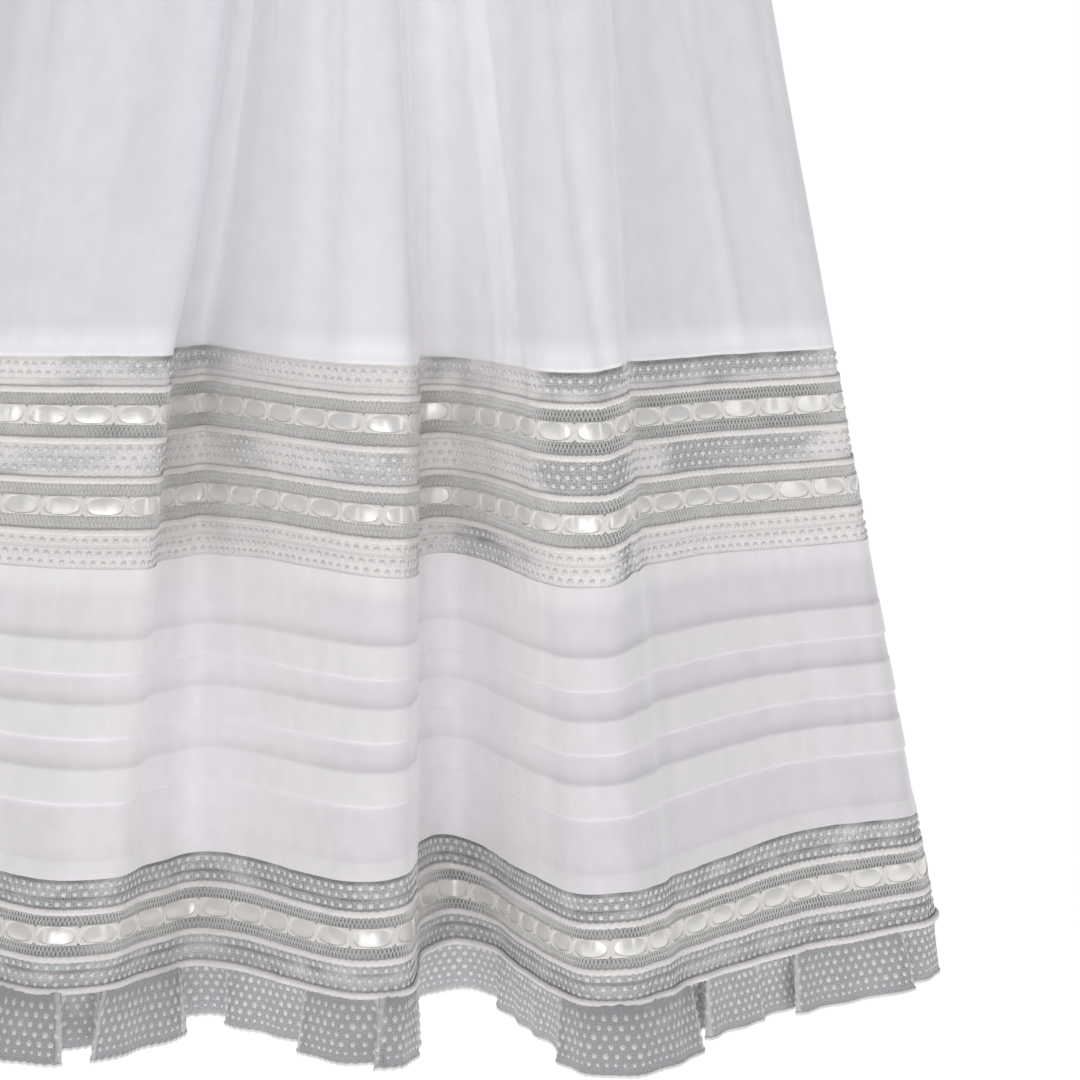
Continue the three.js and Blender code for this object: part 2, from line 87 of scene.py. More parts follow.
BODICE_HALF_WIDTH = 91.0
BODICE_HALF_DEPTH = 68.0
UNDERARM_Z = -62.0
NECK_SHARE = 0.42
ARMHOLE_SHARE = 0.78
FRONT_NECK_DROP = 40.0
BACK_NECK_DROP = 24.0
BACK_LAP = 8.0
LAP_RISE = 1.5
BUTTON_LEVELS_Z = (-44.0, -76.0, -106.0)
BUTTON_SEAT = 2.4

# Folds, counter-clockwise from the gown's right side seam: place across and out at the top of
# the upper lace, then across and out at the top of the ruffle
FRONT_FOLDS = (
    (-188, 0, -235, 0), (-178, 30, -224, 40), (-158, 40, -196, 62), (-140, 44, -166, 92),
    (-118, 44, -140, 118), (-89, 42, -117, 112), (-88, 4, -102, 88), (-76, -8, -83, 68),
    (-62, 14, -63, 80), (-36, 52, -39, 109), (-10, 72, -15, 134), (8, 72, 2, 131),
    (13, 56, 9, 104), (14, 36, 12, 58), (26, 38, 27, 34), (38, 56, 43, 48),
    (50, 82, 53, 88), (61, 104, 64, 124), (73, 110, 78, 150), (86, 106, 94, 152),
    (94, 92, 107, 138), (98, 66, 117, 118), (113, 54, 130, 100), (134, 35, 153, 73),
    (157, 21, 178, 47), (178, 11, 206, 28), (187, 4, 228, 13),
)
BACK_FOLDS = (
    (188, -6, 235, -4), (182, -26, 228, -36), (170, -48, 212, -74), (150, -54, 188, -78),
    (128, -76, 164, -114), (104, -92, 138, -142), (84, -84, 112, -122), (66, -70, 90, -90),
    (46, -80, 66, -102), (26, -98, 40, -140), (4, -106, 14, -157), (-16, -98, -12, -146),
    (-32, -82, -32, -113), (-50, -74, -54, -93), (-72, -84, -80, -117), (-94, -94, -108, -147),
    (-114, -84, -134, -132), (-134, -66, -157, -100), (-154, -58, -181, -90),
    (-172, -42, -207, -73), (-184, -20, -227, -38),
)
FRONT_END = len(FRONT_FOLDS)
TURNS_ROUND = FRONT_END + len(BACK_FOLDS)

# Box-like gathers of the ruffle: each stretch runs until a turn and swings out (1) or in (-1)
FRONT_RUFFLE = (
    (1.0, -0.4), (2.2, 0.8), (3.0, -0.8), (4.3, 0.9), (5.0, -0.5), (6.85, 0.95), (7.8, -1.0),
    (9.15, -0.25), (10.5, 0.5), (12.1, 0.85), (15.1, -1.0), (17.2, -0.2), (21.2, 0.9),
    (21.8, -1.0), (22.9, 0.0), (23.6, -0.25), (25.45, 0.35), (27.0, -0.15),
)
BACK_RUFFLE_STRETCHES = 20
BACK_RUFFLE_UNEVEN = 0.2
BACK_RUFFLE_SWINGS = (0.7, -0.9, 0.5, -0.7)

HALVES = {"front": (0.0, float(FRONT_END)), "back": (float(FRONT_END), float(TURNS_ROUND))}


def mix(a, b, share):
    return a + (b - a) * share


def smooth(low, high, value):
    share = np.clip((value - low) / (high - low), 0.0, 1.0)
    return share * share * (3 - 2 * share)


def unit(vectors):
    return vectors / np.linalg.norm(vectors, axis=-1, keepdims=True)


def lengths_along(line):
    """Length from a line's first point to each of its points."""
    return np.concatenate([[0.0], np.cumsum(np.linalg.norm(np.diff(line, axis=0), axis=1))])


def by_turn(turns, table):
    """The columns of a table, read off at turns given in its first column."""
    places, *columns = np.transpose(table)
    return [np.interp(turns % TURNS_ROUND, places, column) for column in columns]


def circle(count, start=0.0):
    return (np.arange(count) + start) / count * 2 * math.pi


def fold_tables():
    """Plan points of the fold rows at the waist, the top of the upper lace and the ruffle."""
    rows = np.array(FRONT_FOLDS + BACK_FOLDS, float)
    laces = np.stack([rows[:, 0], -rows[:, 1]], axis=1)
    wide = np.stack([rows[:, 2], -rows[:, 3]], axis=1)
    closed = np.vstack([wide, wide[:1]])
    shares = []
    for half, (first, last) in enumerate(((0, FRONT_END), (FRONT_END, TURNS_ROUND))):
        along = lengths_along(closed[first : last + 1])
        shares.extend(half + along[:-1] / along[-1])
    angles = np.array(shares) * math.pi
    waist = np.stack([-WAIST_HALF_WIDTH * np.cos(angles), -WAIST_HALF_DEPTH * np.sin(angles)], axis=1)
    return waist, laces, wide


WAIST_PLAN, LACE_PLAN, RUFFLE_PLAN = fold_tables()


# The left front fold leans inwards on its way up, and back again at the waist
BOWS = FOLD_BOW * np.cos(
    np.clip(np.abs(np.arange(TURNS_ROUND) - BOWED_FOLD) / BOWED_FOLDS_REACH, 0, 1) * math.pi / 2
) ** 2


def fold_row(index, z):
    upper = ((WAIST_Z - z) / (WAIST_Z - UPPER_LACE_TOP_Z))[..., None]
    lower = ((UPPER_LACE_TOP_Z - z) / (UPPER_LACE_TOP_Z - RUFFLE_TOP_Z))[..., None]
    above = mix(WAIST_PLAN[index], LACE_PLAN[index], upper)
    above[..., 0] += BOWS[index] * (4 * upper * (1 - upper))[..., 0]
    below = mix(LACE_PLAN[index], RUFFLE_PLAN[index], lower)
    return np.where((z < UPPER_LACE_TOP_Z)[..., None], below, above)


def curve_terms(a, b, c, d):
    """Bend, lean and first slope of the smooth curve from b to c, with a before and d after."""
    before, here, after = (
        np.sqrt(np.linalg.norm(q - p, axis=-1, keepdims=True)) for p, q in ((a, b), (b, c), (c, d))
    )
    rise = (c - b) / here
    first = ((b - a) / before * here + rise * before) / (before + here) * here
    last = (rise * after + (d - c) / after * here) / (here + after) * here
    return 2 * b - 2 * c + first + last, 3 * c - 3 * b - 2 * first - last, first


def plan_at(turn, z):
    """Place in plan and outward direction of the cloth's middle, for arrays of turns and levels."""
    start = np.floor(turn).astype(int)
    f = (turn - start)[..., None]
    a, b, c, d = (fold_row((start + step) % TURNS_ROUND, z) for step in (-1, 0, 1, 2))
    bend, lean, first = curve_terms(a, b, c, d)
    place = ((bend * f + lean) * f + first) * f + b
    slope = (3 * bend * f + 2 * lean) * f + first
    slope = unit(slope)
    return place, np.stack([slope[..., 1], -slope[..., 0]], axis=-1)


# Length round the gown at the top of the ruffle, which says how far apart things are
FINE_TURNS = np.linspace(0, TURNS_ROUND, 4801)


def ruler(z):
    """Length along the cloth at one level, for each of the fine turns."""
    return lengths_along(plan_at(FINE_TURNS % TURNS_ROUND, np.full(FINE_TURNS.shape, float(z)))[0])


FINE_LENGTH = ruler(RUFFLE_TOP_Z)
ROUND = float(FINE_LENGTH[-1])


def length_of(turn):
    return np.interp(turn, FINE_TURNS, FINE_LENGTH)


def turn_of(length):
    return np.interp(length, FINE_LENGTH, FINE_TURNS)


def half_ruler(side, z):
    """Length at one level at the two ends of a half, and a function from length to turn."""
    lengths = ruler(z)
    first, last = np.interp(HALVES[side], FINE_TURNS, lengths)
    return first, last, lambda length: np.interp(length, lengths, FINE_TURNS)


def width_share(z):
    """How wide the gown is at a level, against its width at the top of the ruffle."""
    at_waist, at_lace = 0.385, 0.79
    upper = (WAIST_Z - z) / (WAIST_Z - UPPER_LACE_TOP_Z)
    lower = (UPPER_LACE_TOP_Z - z) / (UPPER_LACE_TOP_Z - RUFFLE_TOP_Z)
    return np.where(z < UPPER_LACE_TOP_Z, mix(at_lace, 1.0, lower), mix(at_waist, at_lace, upper))


def lattice(seed, wide, tall):
    """Smooth seeded noise over the cloth, whose bumps are so many millimetres wide and tall."""
    columns = max(4, round(ROUND / wide))
    rows = math.ceil(950 / tall) + 3
    values = np.random.default_rng(seed).uniform(-1, 1, (rows, columns))

    def noise(length, z):
        u = length / ROUND * columns
        v = np.clip(-z / tall, 0, rows - 2)
        i, j = np.floor(u).astype(int), np.floor(v).astype(int)
        fu, fv = u - i, v - j
        fu, fv = fu * fu * (3 - 2 * fu), fv * fv * (3 - 2 * fv)
        top = mix(values[j, i % columns], values[j, (i + 1) % columns], fu)
        low = mix(values[j + 1, i % columns], values[j + 1, (i + 1) % columns], fu)
        return mix(top, low, fv)

    return noise


LONG_WAVES = lattice(11, 34, 210)
FALLS = lattice(12, 15, 110)
CRINKLES = lattice(13, 6.5, 38)
PUCKERS = lattice(14, 8, 24)
GATHER_DRIFT = lattice(15, 40, 90)

# Main creases: turn and level of both ends, width and depth (out is positive)
CREASES = (
    # front, left to right
    (1.2, -300, 1.0, -600, 9, -2.0), (2.4, -250, 2.6, -560, 8, 1.8),
    (4.1, -340, 3.75, -600, 6, -2.4), (4.6, -330, 4.5, -650, 7, 1.6),
    (7.0, -330, 5.6, -660, 5, -1.6), (7.6, -380, 6.7, -600, 8, 1.2),
    (9.5, -400, 9.3, -660, 7, -1.7), (9.9, -430, 9.55, -575, 2.4, -0.9),
    (10.6, -330, 10.0, -560, 2.4, -1.0), (11.6, -300, 11.3, -600, 8, 1.0),
    (13.3, -260, 13.3, -660, 3, -1.2), (14.0, -390, 15.75, -650, 6, 2.2),
    (14.2, -370, 16.6, -660, 4, -2.6), (17.0, -340, 19.5, -680, 4.5, -2.8),
    (19.3, -350, 21.4, -580, 4, 1.8), (22.6, -360, 22.1, -660, 9, -1.3),
    (22.4, -340, 23.4, -560, 2.6, -1.0), (23.1, -480, 23.7, -660, 4.5, 1.9),
    (25.4, -340, 25.2, -610, 10, -1.2),
    # back
    (28.4, -280, 28.8, -610, 10, -2.2), (30.6, -330, 30.2, -590, 10, 1.8),
    (32.6, -260, 32.9, -560, 9, -2.2), (34.6, -300, 34.9, -620, 8, -1.8),
    (36.4, -250, 36.0, -540, 9, 2.2), (38.3, -340, 38.6, -610, 9, -2.2),
    (40.2, -280, 40.6, -590, 8, 1.8), (42.4, -260, 42.0, -600, 9, -2.4),
    (44.4, -320, 44.8, -580, 10, 1.8), (46.4, -280, 46.0, -600, 10, -1.8),
)


def creases(length, z):
    """Soft troughs and ridges that fade in and out along their own length."""
    moved = np.zeros(length.shape)
    for turn, top, end_turn, bottom, width, depth in CREASES:
        share = np.clip((top - z) / (top - bottom), 0, 1)
        middle = mix(length_of(turn), length_of(end_turn), share)
        across = (length - middle) * width_share(z) / width
        fade = smooth(0, 0.3, share) * (1 - smooth(0.72, 1, share))
        moved += depth * fade * np.exp(-across * across)
    return moved


# Gathers at the waist: how many go round, how far down they reach and how deep they are
FINE_GATHERS, FINE_REACH, FINE_DEPTH = 94, 26, 1.1
BROAD_GATHERS, BROAD_REACH, BROAD_DEPTH = 41, 85, 1.3
# Depth of the soft unevenness of the skirt, and of the laces and tuck panel below it
SKIRT_WAVES, SKIRT_FALLS, SKIRT_CRINKLES = 0.9, 0.4, 0.22
PANEL_FALLS, PANEL_CRINKLES = 0.55, 0.3
PUCKER_DEPTH, PUCKER_REACH = 0.28, 9


def gathers(length, z):
    """Fine gathers under the waist seam, which run together into the folds lower down."""
    fall = WAIST_Z - z
    waves = length / ROUND * 2 * math.pi
    drift = 2.2 * GATHER_DRIFT(length, z * 0.4)
    fine = np.sin(waves * FINE_GATHERS + 3 * drift) * np.exp(-fall / FINE_REACH)
    broad = np.sin(waves * BROAD_GATHERS + 2 * drift) * np.exp(-fall / BROAD_REACH)
    return FINE_DEPTH * fine + BROAD_DEPTH * (broad * smooth(0, 12, fall))


def relief(length, z):
    """How far the cloth stands out of the plain fold surface."""
    fall = WAIST_Z - z
    skirt = smooth(0, 90, fall) * (1 - 0.75 * smooth(440, 505, fall))
    moved = skirt * (SKIRT_WAVES * LONG_WAVES(length, z) + SKIRT_FALLS * FALLS(length, z))
    lower = smooth(460, 520, fall)
    moved += lower * (PANEL_FALLS * FALLS(length, z) + PANEL_CRINKLES * CRINKLES(length, z))
    moved += smooth(20, 120, fall) * (1 - lower) * SKIRT_CRINKLES * CRINKLES(length, z)
    pucker = np.zeros(length.shape)
    for seam in SEAM_LEVELS[:3]:
        pucker += np.exp(-(((z - seam) / PUCKER_REACH) ** 2))
    moved += pucker * PUCKER_DEPTH * PUCKERS(length, z)
    return smooth(0, 3, fall) * moved + gathers(length, z) + creases(length, z)


# The seams don't hang quite level: at each turn, how far the four seams lie above their level
SEAM_LEVELS = (UPPER_LACE_TOP_Z, UPPER_LACE_BOTTOM_Z, LOWER_LACE_TOP_Z, RUFFLE_TOP_Z)
SWAY_START = -560.0
SEAM_SWAY = (
    # turn, upper lace top, upper lace bottom, lower lace top, ruffle top
    (0.0, 0.0, 0.0, 0.0, 0.0), (4.5, 0.0, -0.5, -1.7, 0.0), (6.5, -1.5, -3.0, -2.5, -1.2),
    (7.8, -0.6, -0.8, 0.5, 0.5), (8.6, -0.6, 1.3, 0.5, 0.2), (9.5, -0.9, 0.6, 0.0, 0.6),
    (10.5, -0.9, -1.1, 0.7, 0.6), (11.7, -2.4, -2.5, 3.0, 0.2), (13.5, -2.0, 0.6, 2.4, -0.5),
    (14.7, -1.6, 0.0, -1.5, -0.3), (15.3, -1.0, -0.2, -3.8, 0.0), (16.5, -0.5, -1.0, -1.8, 0.4),
    (17.5, -0.6, -1.7, -2.2, 0.3), (18.8, -0.6, -1.0, -0.4, 0.7), (19.8, 0.8, 2.8, -0.8, 1.0),
    (21.3, -1.4, 1.5, -1.4, 0.0), (22.5, -2.0, 2.0, 0.0, -0.5), (23.5, -2.3, 0.5, 2.8, -0.7),
    (24.5, -2.6, 0.0, 3.2, -1.2), (25.6, -2.6, 0.0, 2.0, 0.0), (28.0, -1.5, 0.5, 1.0, 0.0),
    (31.0, 0.8, -0.8, -1.0, 0.6), (34.5, -0.8, 0.8, 1.2, -0.6), (38.0, 1.0, -1.0, 0.4, 0.8),
    (42.0, -1.0, 0.6, -1.4, -0.4), (45.0, 0.6, -0.6, 1.0, 0.4), (48.0, 0.0, 0.0, 0.0, 0.0),
)


def sway(turn, z):
    """How far the cloth at a nominal level lies above it."""
    seams = by_turn(turn, SEAM_SWAY)
    moved = seams[0] * smooth(-SWAY_START, -UPPER_LACE_TOP_Z, -z)
    for k in range(1, len(SEAM_LEVELS)):
        top, bottom = SEAM_LEVELS[k - 1], SEAM_LEVELS[k]
        share = np.clip((top - z) / (top - bottom), 0, 1)
        moved = moved + (seams[k] - seams[k - 1]) * share
    return moved


def on_cloth(turn, z, out):
    """Points in millimetres on the draped gown, so far outside the cloth's middle."""
    turn, z, out = np.broadcast_arrays(np.asarray(turn, float), np.asarray(z, float), out)
    turn = turn % TURNS_ROUND
    level = z + sway(turn, z)
    place, normal = plan_at(turn, level)
    moved = (out + relief(length_of(turn), z))[..., None]
    return np.concatenate([place + normal * moved, level[..., None]], axis=-1)


SIDE_SEAM_GAP = 0.15


def spaced(first, last, count, moved=0.5):
    """So many places an even length apart, moved by a share of their pitch from the first."""
    return first + (np.arange(count) + moved) * (last - first) / count


def half_turns(side, spacing):
    """Turns of columns an even length apart, from side seam to side seam."""
    first, last = HALVES[side]
    start, end = length_of(first) + SIDE_SEAM_GAP, length_of(last) - SIDE_SEAM_GAP
    return turn_of(np.linspace(start, end, round((end - start) / spacing) + 1))


def build(name, points, faces, material, uv=None, paleness=None, flat=False):
    """A mesh object from points in millimetres. uv is in metres, paleness a number per point, how white
    the cloth looks, which holds painted light on the skirt, tucks and laces.
    """
    mesh = bpy.data.meshes.new(name)
    faces = np.asarray(faces, np.int32)
    sides = faces.shape[1]
    mesh.vertices.add(len(points))
    mesh.vertices.foreach_set("co", (np.asarray(points) * MM).astype(np.float32).ravel())
    mesh.loops.add(faces.size)
    mesh.loops.foreach_set("vertex_index", faces.ravel())
    mesh.polygons.add(len(faces))
    mesh.polygons.foreach_set("loop_start", np.arange(0, faces.size, sides, dtype=np.int32))
    mesh.update(calc_edges=True)
    mesh.validate()
    mesh.polygons.foreach_set("use_smooth", np.full(len(mesh.polygons), not flat))
    if uv is not None:
        layer = mesh.uv_layers.new(name="cloth")
        layer.data.foreach_set("uv", np.asarray(uv, np.float32)[faces.ravel()].ravel())
    if paleness is not None:
        attribute = mesh.attributes.new("paleness", "FLOAT", "POINT")
        attribute.data.foreach_set("value", np.asarray(paleness, np.float32).ravel())
    return placed(name, mesh, material)


def placed(name, data, material=None):
    """A new object in the scene, with its mesh's material."""
    if material:
        data.materials.append(material)
    piece = bpy.data.objects.new(name, data)
    bpy.context.scene.collection.objects.link(piece)
    return piece


def grid_faces(rows, columns, round_columns=False, round_rows=False):
    """Quads of a grid of points, seen from outside when rows run down and columns to +X."""
    r, c = np.meshgrid(
        np.arange(rows if round_rows else rows - 1),
        np.arange(columns if round_columns else columns - 1),
        indexing="ij",
    )
    down, right = (r + 1) % rows, (c + 1) % columns
    quads = [down * columns + c, down * columns + right, r * columns + right, r * columns + c]
    return np.stack(quads, axis=-1).reshape(-1, 4)


def flat_uv(across, down):
    """Places on the flat cloth in metres, from millimetres along it and down it."""
    u, v = np.meshgrid(across * MM, np.asarray(down, float) * MM)
    return np.stack([u, v], axis=-1).reshape(-1, 2)


# Painted light on the upper lace at each turn, from 0 to 1, in its upper, middle and lower net: where
# it is high the net is painted pale and its holes don't show, standing for lit white cloth behind it
NET_PAINTED_LIGHT = (
    # turn, upper, middle, lower
    (0.0, 0.4, 0.5, 0.8), (2.5, 0.7, 0.3, 0.9), (4.5, 0.3, 0.5, 0.9), (5.6, 0.1, 0.3, 0.9),
    (7.0, 0.2, 0.7, 1.0), (8.2, 0.6, 0.35, 1.0), (9.0, 0.85, 0.6, 1.0), (10.5, 1.0, 0.1, 0.9),
    (12.0, 1.0, 0.8, 1.0), (13.5, 0.2, 0.9, 0.4), (15.0, 0.4, 0.95, 0.15), (16.3, 0.9, 0.8, 0.5),
    (17.3, 0.2, 0.1, 0.9), (18.7, 0.0, 0.0, 0.7), (19.6, 0.1, 0.1, 0.0), (20.4, 0.6, 0.9, 1.0),
    (21.2, 0.1, 0.7, 1.0), (22.0, 0.0, 0.1, 1.0), (24.3, 0.1, 0.2, 1.0), (25.3, 0.4, 0.6, 1.0),
    (27.5, 0.3, 0.2, 0.9), (30.0, 0.8, 0.6, 1.0), (33.0, 0.2, 0.4, 0.8), (36.0, 0.7, 0.1, 1.0),
    (39.0, 0.1, 0.7, 0.7), (42.0, 0.6, 0.3, 1.0), (45.0, 0.2, 0.6, 0.9), (48.0, 0.4, 0.5, 0.8),
)
NET_PAINTED_LEVELS = (6.5, 10.5, 15.0, 32.5, 37.0, 46.0, 50.5, 68.5, 73.0)
UNDER_DOTS = 0.5
MESH_PAINTED_LIGHT = 0.42


def net_painted_light(turns, drops):
    """Painted light on the upper lace, for a grid of drops and turns."""
    upper, middle, lower = by_turn(turns, NET_PAINTED_LIGHT)
    first_mesh, second_mesh = MESH_PAINTED_LIGHT * (upper + middle), MESH_PAINTED_LIGHT * (middle + lower)
    bands = np.array([
        upper, np.maximum(upper, UNDER_DOTS), first_mesh, first_mesh, middle, middle,
        second_mesh, second_mesh, lower,
    ])
    return np.array([[np.interp(drop, NET_PAINTED_LEVELS, band) for band in bands.T] for drop in drops])


def cloth_grid(name, turns, rows, material, level, paleness):
    """A sheet whose rows are (level, distance out, length down the cloth)."""
    z, out, drops = (np.array(column, float)[:, None] for column in zip(*rows))
    points = on_cloth(turns[None, :], z, out).reshape(-1, 3)
    uv = flat_uv(np.interp(turns, FINE_TURNS, ruler(level)), drops.ravel())
    return build(name, points, grid_faces(len(rows), len(turns)), material, uv, paleness)


CORD_SIDES = 6
CORD_ANGLES = circle(CORD_SIDES)
WOBBLE_LENGTH = 3.1


def tube(turns, z, out, width, height, wobble):
    """A flattened cord along the gown, as points and faces, that snakes up and down a little."""
    snake = wobble * np.sin(length_of(turns) * 2 * math.pi / WOBBLE_LENGTH)
    level = z + snake + width / 2 * np.cos(CORD_ANGLES)[:, None]
    distance = out + height / 2 * np.sin(CORD_ANGLES)[:, None] + np.zeros(len(turns))
    points = on_cloth(turns[None, :], level, distance).reshape(-1, 3)
    return points, grid_faces(CORD_SIDES, len(turns), False, True)[:, ::-1]


def joined(parts):
    """Several (points, faces) sets with the same number of sides as one."""
    points, faces, count = [], [], 0
    for part_points, part_faces in parts:
        points.append(part_points)
        faces.append(np.asarray(part_faces) + count)
        count += len(part_points)
    return np.concatenate(points), np.concatenate(faces)


def socket(tree, value, target):
    if isinstance(value, bpy.types.NodeSocket):
        tree.links.new(value, target)
    else:
        target.default_value = value


def node(tree, kind, inputs=(), **settings):
    made = tree.nodes.new(kind)
    for key, value in settings.items():
        setattr(made, key, value)
    for key, value in dict(inputs).items():
        socket(tree, value, made.inputs[key])
    return made


def math_node(tree, operation, a, b=0.0):
    return node(tree, "ShaderNodeMath", {0: a, 1: b}, operation=operation).outputs[0]


def colour_mix(tree, share, a, b, blend="MIX"):
    made = node(tree, "ShaderNodeMix", {0: share, 6: a, 7: b}, data_type="RGBA", blend_type=blend)
    return made.outputs[2]


def ramp(tree, value, stops):
    made = node(tree, "ShaderNodeValToRGB", {0: value})
    points = made.color_ramp.elements
    while len(points) < len(stops):
        points.new(1.0)
    for point, (position, shade) in zip(points, stops):
        point.position = position
        point.color = (shade, shade, shade, 1.0)
    return made.outputs[0]


def between(tree, value, low, high, dark, light):
    """A colour that goes from dark to light while a value goes from low to high."""
    return colour_mix(tree, ramp(tree, value, ((low, 0.0), (high, 1.0))), (*dark, 1.0), (*light, 1.0))


def stained(tree, share, colour, value, stops):
    """A colour that a share of a value's ramp darkens."""
    return colour_mix(tree, share, colour, ramp(tree, value, stops), blend="MULTIPLY")


def surface(name, roughness, sheen=0.0, specular=0.25):
    """A new material, with its tree and its shader."""
    material = bpy.data.materials.new(name)
    material.use_nodes = True
    shader = material.node_tree.nodes["Principled BSDF"]
    shader.inputs["Roughness"].default_value = roughness
    shader.inputs["Specular IOR Level"].default_value = specular
    shader.inputs["Sheen Weight"].default_value = sheen
    shader.inputs["Sheen Roughness"].default_value = 0.5
    return material, material.node_tree, shader


def cloth_uv(tree):
    return node(tree, "ShaderNodeUVMap", uv_map="cloth").outputs[0]


def paleness_of(tree):
    return node(tree, "ShaderNodeAttribute", attribute_name="paleness").outputs["Fac"]


def noise(tree, vector, scale, detail=2.0):
    made = node(tree, "ShaderNodeTexNoise", {"Vector": vector, "Scale": scale, "Detail": detail})
    return made.outputs[0]


def scaled(tree, vector, factors):
    made = node(tree, "ShaderNodeVectorMath", {0: vector, 1: factors}, operation="MULTIPLY")
    return made.outputs[0]


def weave(tree, uv, pitch):
    """Height of a plain weave: warp and weft that pass over each other."""
    parts = node(tree, "ShaderNodeSeparateXYZ", {0: uv}).outputs
    waves = []
    for axis in (0, 1):
        turned = math_node(tree, "MULTIPLY", parts[axis], 2 * math.pi / pitch)
        waves.append(math_node(tree, "SINE", turned))
    return math_node(tree, "MULTIPLY", waves[0], waves[1])


def bump(tree, shader, height, strength, distance):
    made = node(
        tree, "ShaderNodeBump", {"Height": height, "Strength": strength, "Distance": distance}
    )
    tree.links.new(made.outputs[0], shader.inputs["Normal"])


# Shade of the cloth where it lies single, in its darker and lighter patches, and where double, which also
# serves for light painted on it
COOL_BATISTE = ((0.765, 0.752, 0.808), (0.785, 0.770, 0.822), (0.945, 0.928, 0.958))
WARM_BATISTE = ((0.785, 0.750, 0.795), (0.805, 0.769, 0.812), (0.945, 0.915, 0.942))
WEAVE_PITCH = 0.0004


def batiste_material(name, shaded, single, double):
    """Fine sheer cotton, whiter where it lies double and where light is painted on it."""
    material, tree, shader = surface(name, 0.85, 0.85)
    uv = cloth_uv(tree)
    patches = noise(tree, scaled(tree, uv, (9.0, 5.0, 1.0)), 4.0, 3.0)
    plain = between(tree, patches, 0.35, 0.65, shaded, single)
    slubs = noise(tree, scaled(tree, uv, (60.0, 900.0, 1.0)), 5.0)
    flecked = stained(tree, 0.05, plain, slubs, ((0.3, 0.55), (0.7, 1.0)))
    # Whiter by the paleness attribute: cloth lying double, and painted light
    whole = colour_mix(tree, paleness_of(tree), flecked, (*double, 1.0))
    blotches = noise(tree, scaled(tree, uv, (75.0, 40.0, 1.0)), 2.0, 3.0)
    mottled = stained(tree, 0.1, whole, blotches, ((0.35, 0.6), (0.65, 1.0)))
    tree.links.new(mottled, shader.inputs["Base Color"])
    fibres = noise(tree, scaled(tree, uv, (900.0, 900.0, 1.0)), 3.0)
    fuzz = math_node(tree, "MULTIPLY", fibres, 0.8)
    bump(tree, shader, math_node(tree, "ADD", weave(tree, uv, WEAVE_PITCH), fuzz), 0.12, 0.0001)
    tree.links.new(ramp(tree, fibres, ((0.0, 0.8), (1.0, 0.92))), shader.inputs["Roughness"])
    return material


# Colour of the net where painted light stands for lit white cloth close behind it
NET_PALE = (0.93, 0.90, 0.885)
NET_CELL = 1.15


def net_material(name, bands, height, hole, thread, pale, clear):
    """Cotton net, grey with painted shade of the gown's shaded inside seen through it. bands are (share
    down the lace, brightness), pale is its colour where the paleness attribute is high, and clear is how
    much of a hole lets the light through."""
    material, tree, shader = surface(name, 0.8, 0.35)
    uv = cloth_uv(tree)
    shader.inputs["Sheen Tint"].default_value = (0.9, 0.88, 0.86, 1.0)
    spread = {"Vector": uv, "Scale": 1000 / NET_CELL, "Randomness": 0.45}
    cells = node(tree, "ShaderNodeTexVoronoi", spread, feature="DISTANCE_TO_EDGE").outputs["Distance"]
    threads = ramp(tree, cells, ((0.1, 1.0), (0.3, 0.0)))
    down = node(tree, "ShaderNodeSeparateXYZ", {0: uv}).outputs[1]
    share = math_node(tree, "DIVIDE", down, height * MM)
    brightness = ramp(tree, share, bands)
    uneven = noise(tree, scaled(tree, uv, (30.0, 70.0, 1.0)), 1.6)
    blotched = math_node(tree, "ADD", paleness_of(tree), math_node(tree, "MULTIPLY", uneven, 0.9))
    patches = ramp(tree, blotched, ((0.55, 0.0), (1.15, 1.0)))
    open_net = colour_mix(tree, threads, (*hole, 1.0), (*thread, 1.0))
    dark = colour_mix(tree, 1.0, open_net, brightness, blend="MULTIPLY")
    # The net painted pale where the paleness attribute is high: painted light on the laces, fold edges on
    # the ruffle
    whitened = colour_mix(tree, 0.3, (*pale, 1.0), brightness, blend="MULTIPLY")
    lit = colour_mix(tree, math_node(tree, "MULTIPLY", patches, 0.9), dark, whitened)
    tree.links.new(lit, shader.inputs["Base Color"])
    solid = math_node(tree, "ADD", math_node(tree, "MULTIPLY", threads, clear), 1.0 - clear)
    tree.links.new(solid, shader.inputs["Alpha"])
    bump(tree, shader, threads, 0.3, 0.0002)
    return material


def object_noise(tree, scale, detail=2.0):
    return noise(tree, node(tree, "ShaderNodeTexCoord").outputs["Object"], scale, detail)


def thread_material(name, colour):
    """Cotton thread of the cords and dots: soft, with fine twisted fibres."""
    material, tree, shader = surface(name, 0.75, 0.25)
    fine = object_noise(tree, 1400.0)
    tones = between(tree, fine, 0.3, 0.7, [0.84 * channel for channel in colour], colour)
    worn = stained(tree, 0.5, tones, object_noise(tree, 90.0), ((0.3, 0.86), (0.7, 1.0)))
    tree.links.new(worn, shader.inputs["Base Color"])
    bump(tree, shader, fine, 0.45, 0.0002)
    return material


def satin_material():
    """Satin ribbon: long floats that give a strong, soft shine."""
    material, tree, shader = surface("satin", 0.3, specular=0.5)
    uv = cloth_uv(tree)
    shader.inputs["Metallic"].default_value = 0.22
    floats = noise(tree, scaled(tree, uv, (25.0, 2600.0, 1.0)), 4.0)
    tone = between(tree, floats, 0.3, 0.7, (0.82, 0.80, 0.775), (0.89, 0.875, 0.855))
    tree.links.new(tone, shader.inputs["Base Color"])
    broad = noise(tree, scaled(tree, uv, (80.0, 60.0, 1.0)), 2.0)
    tree.links.new(ramp(tree, broad, ((0.2, 0.14), (0.8, 0.23))), shader.inputs["Roughness"])
    bump(tree, shader, floats, 0.15, 0.0001)
    return material


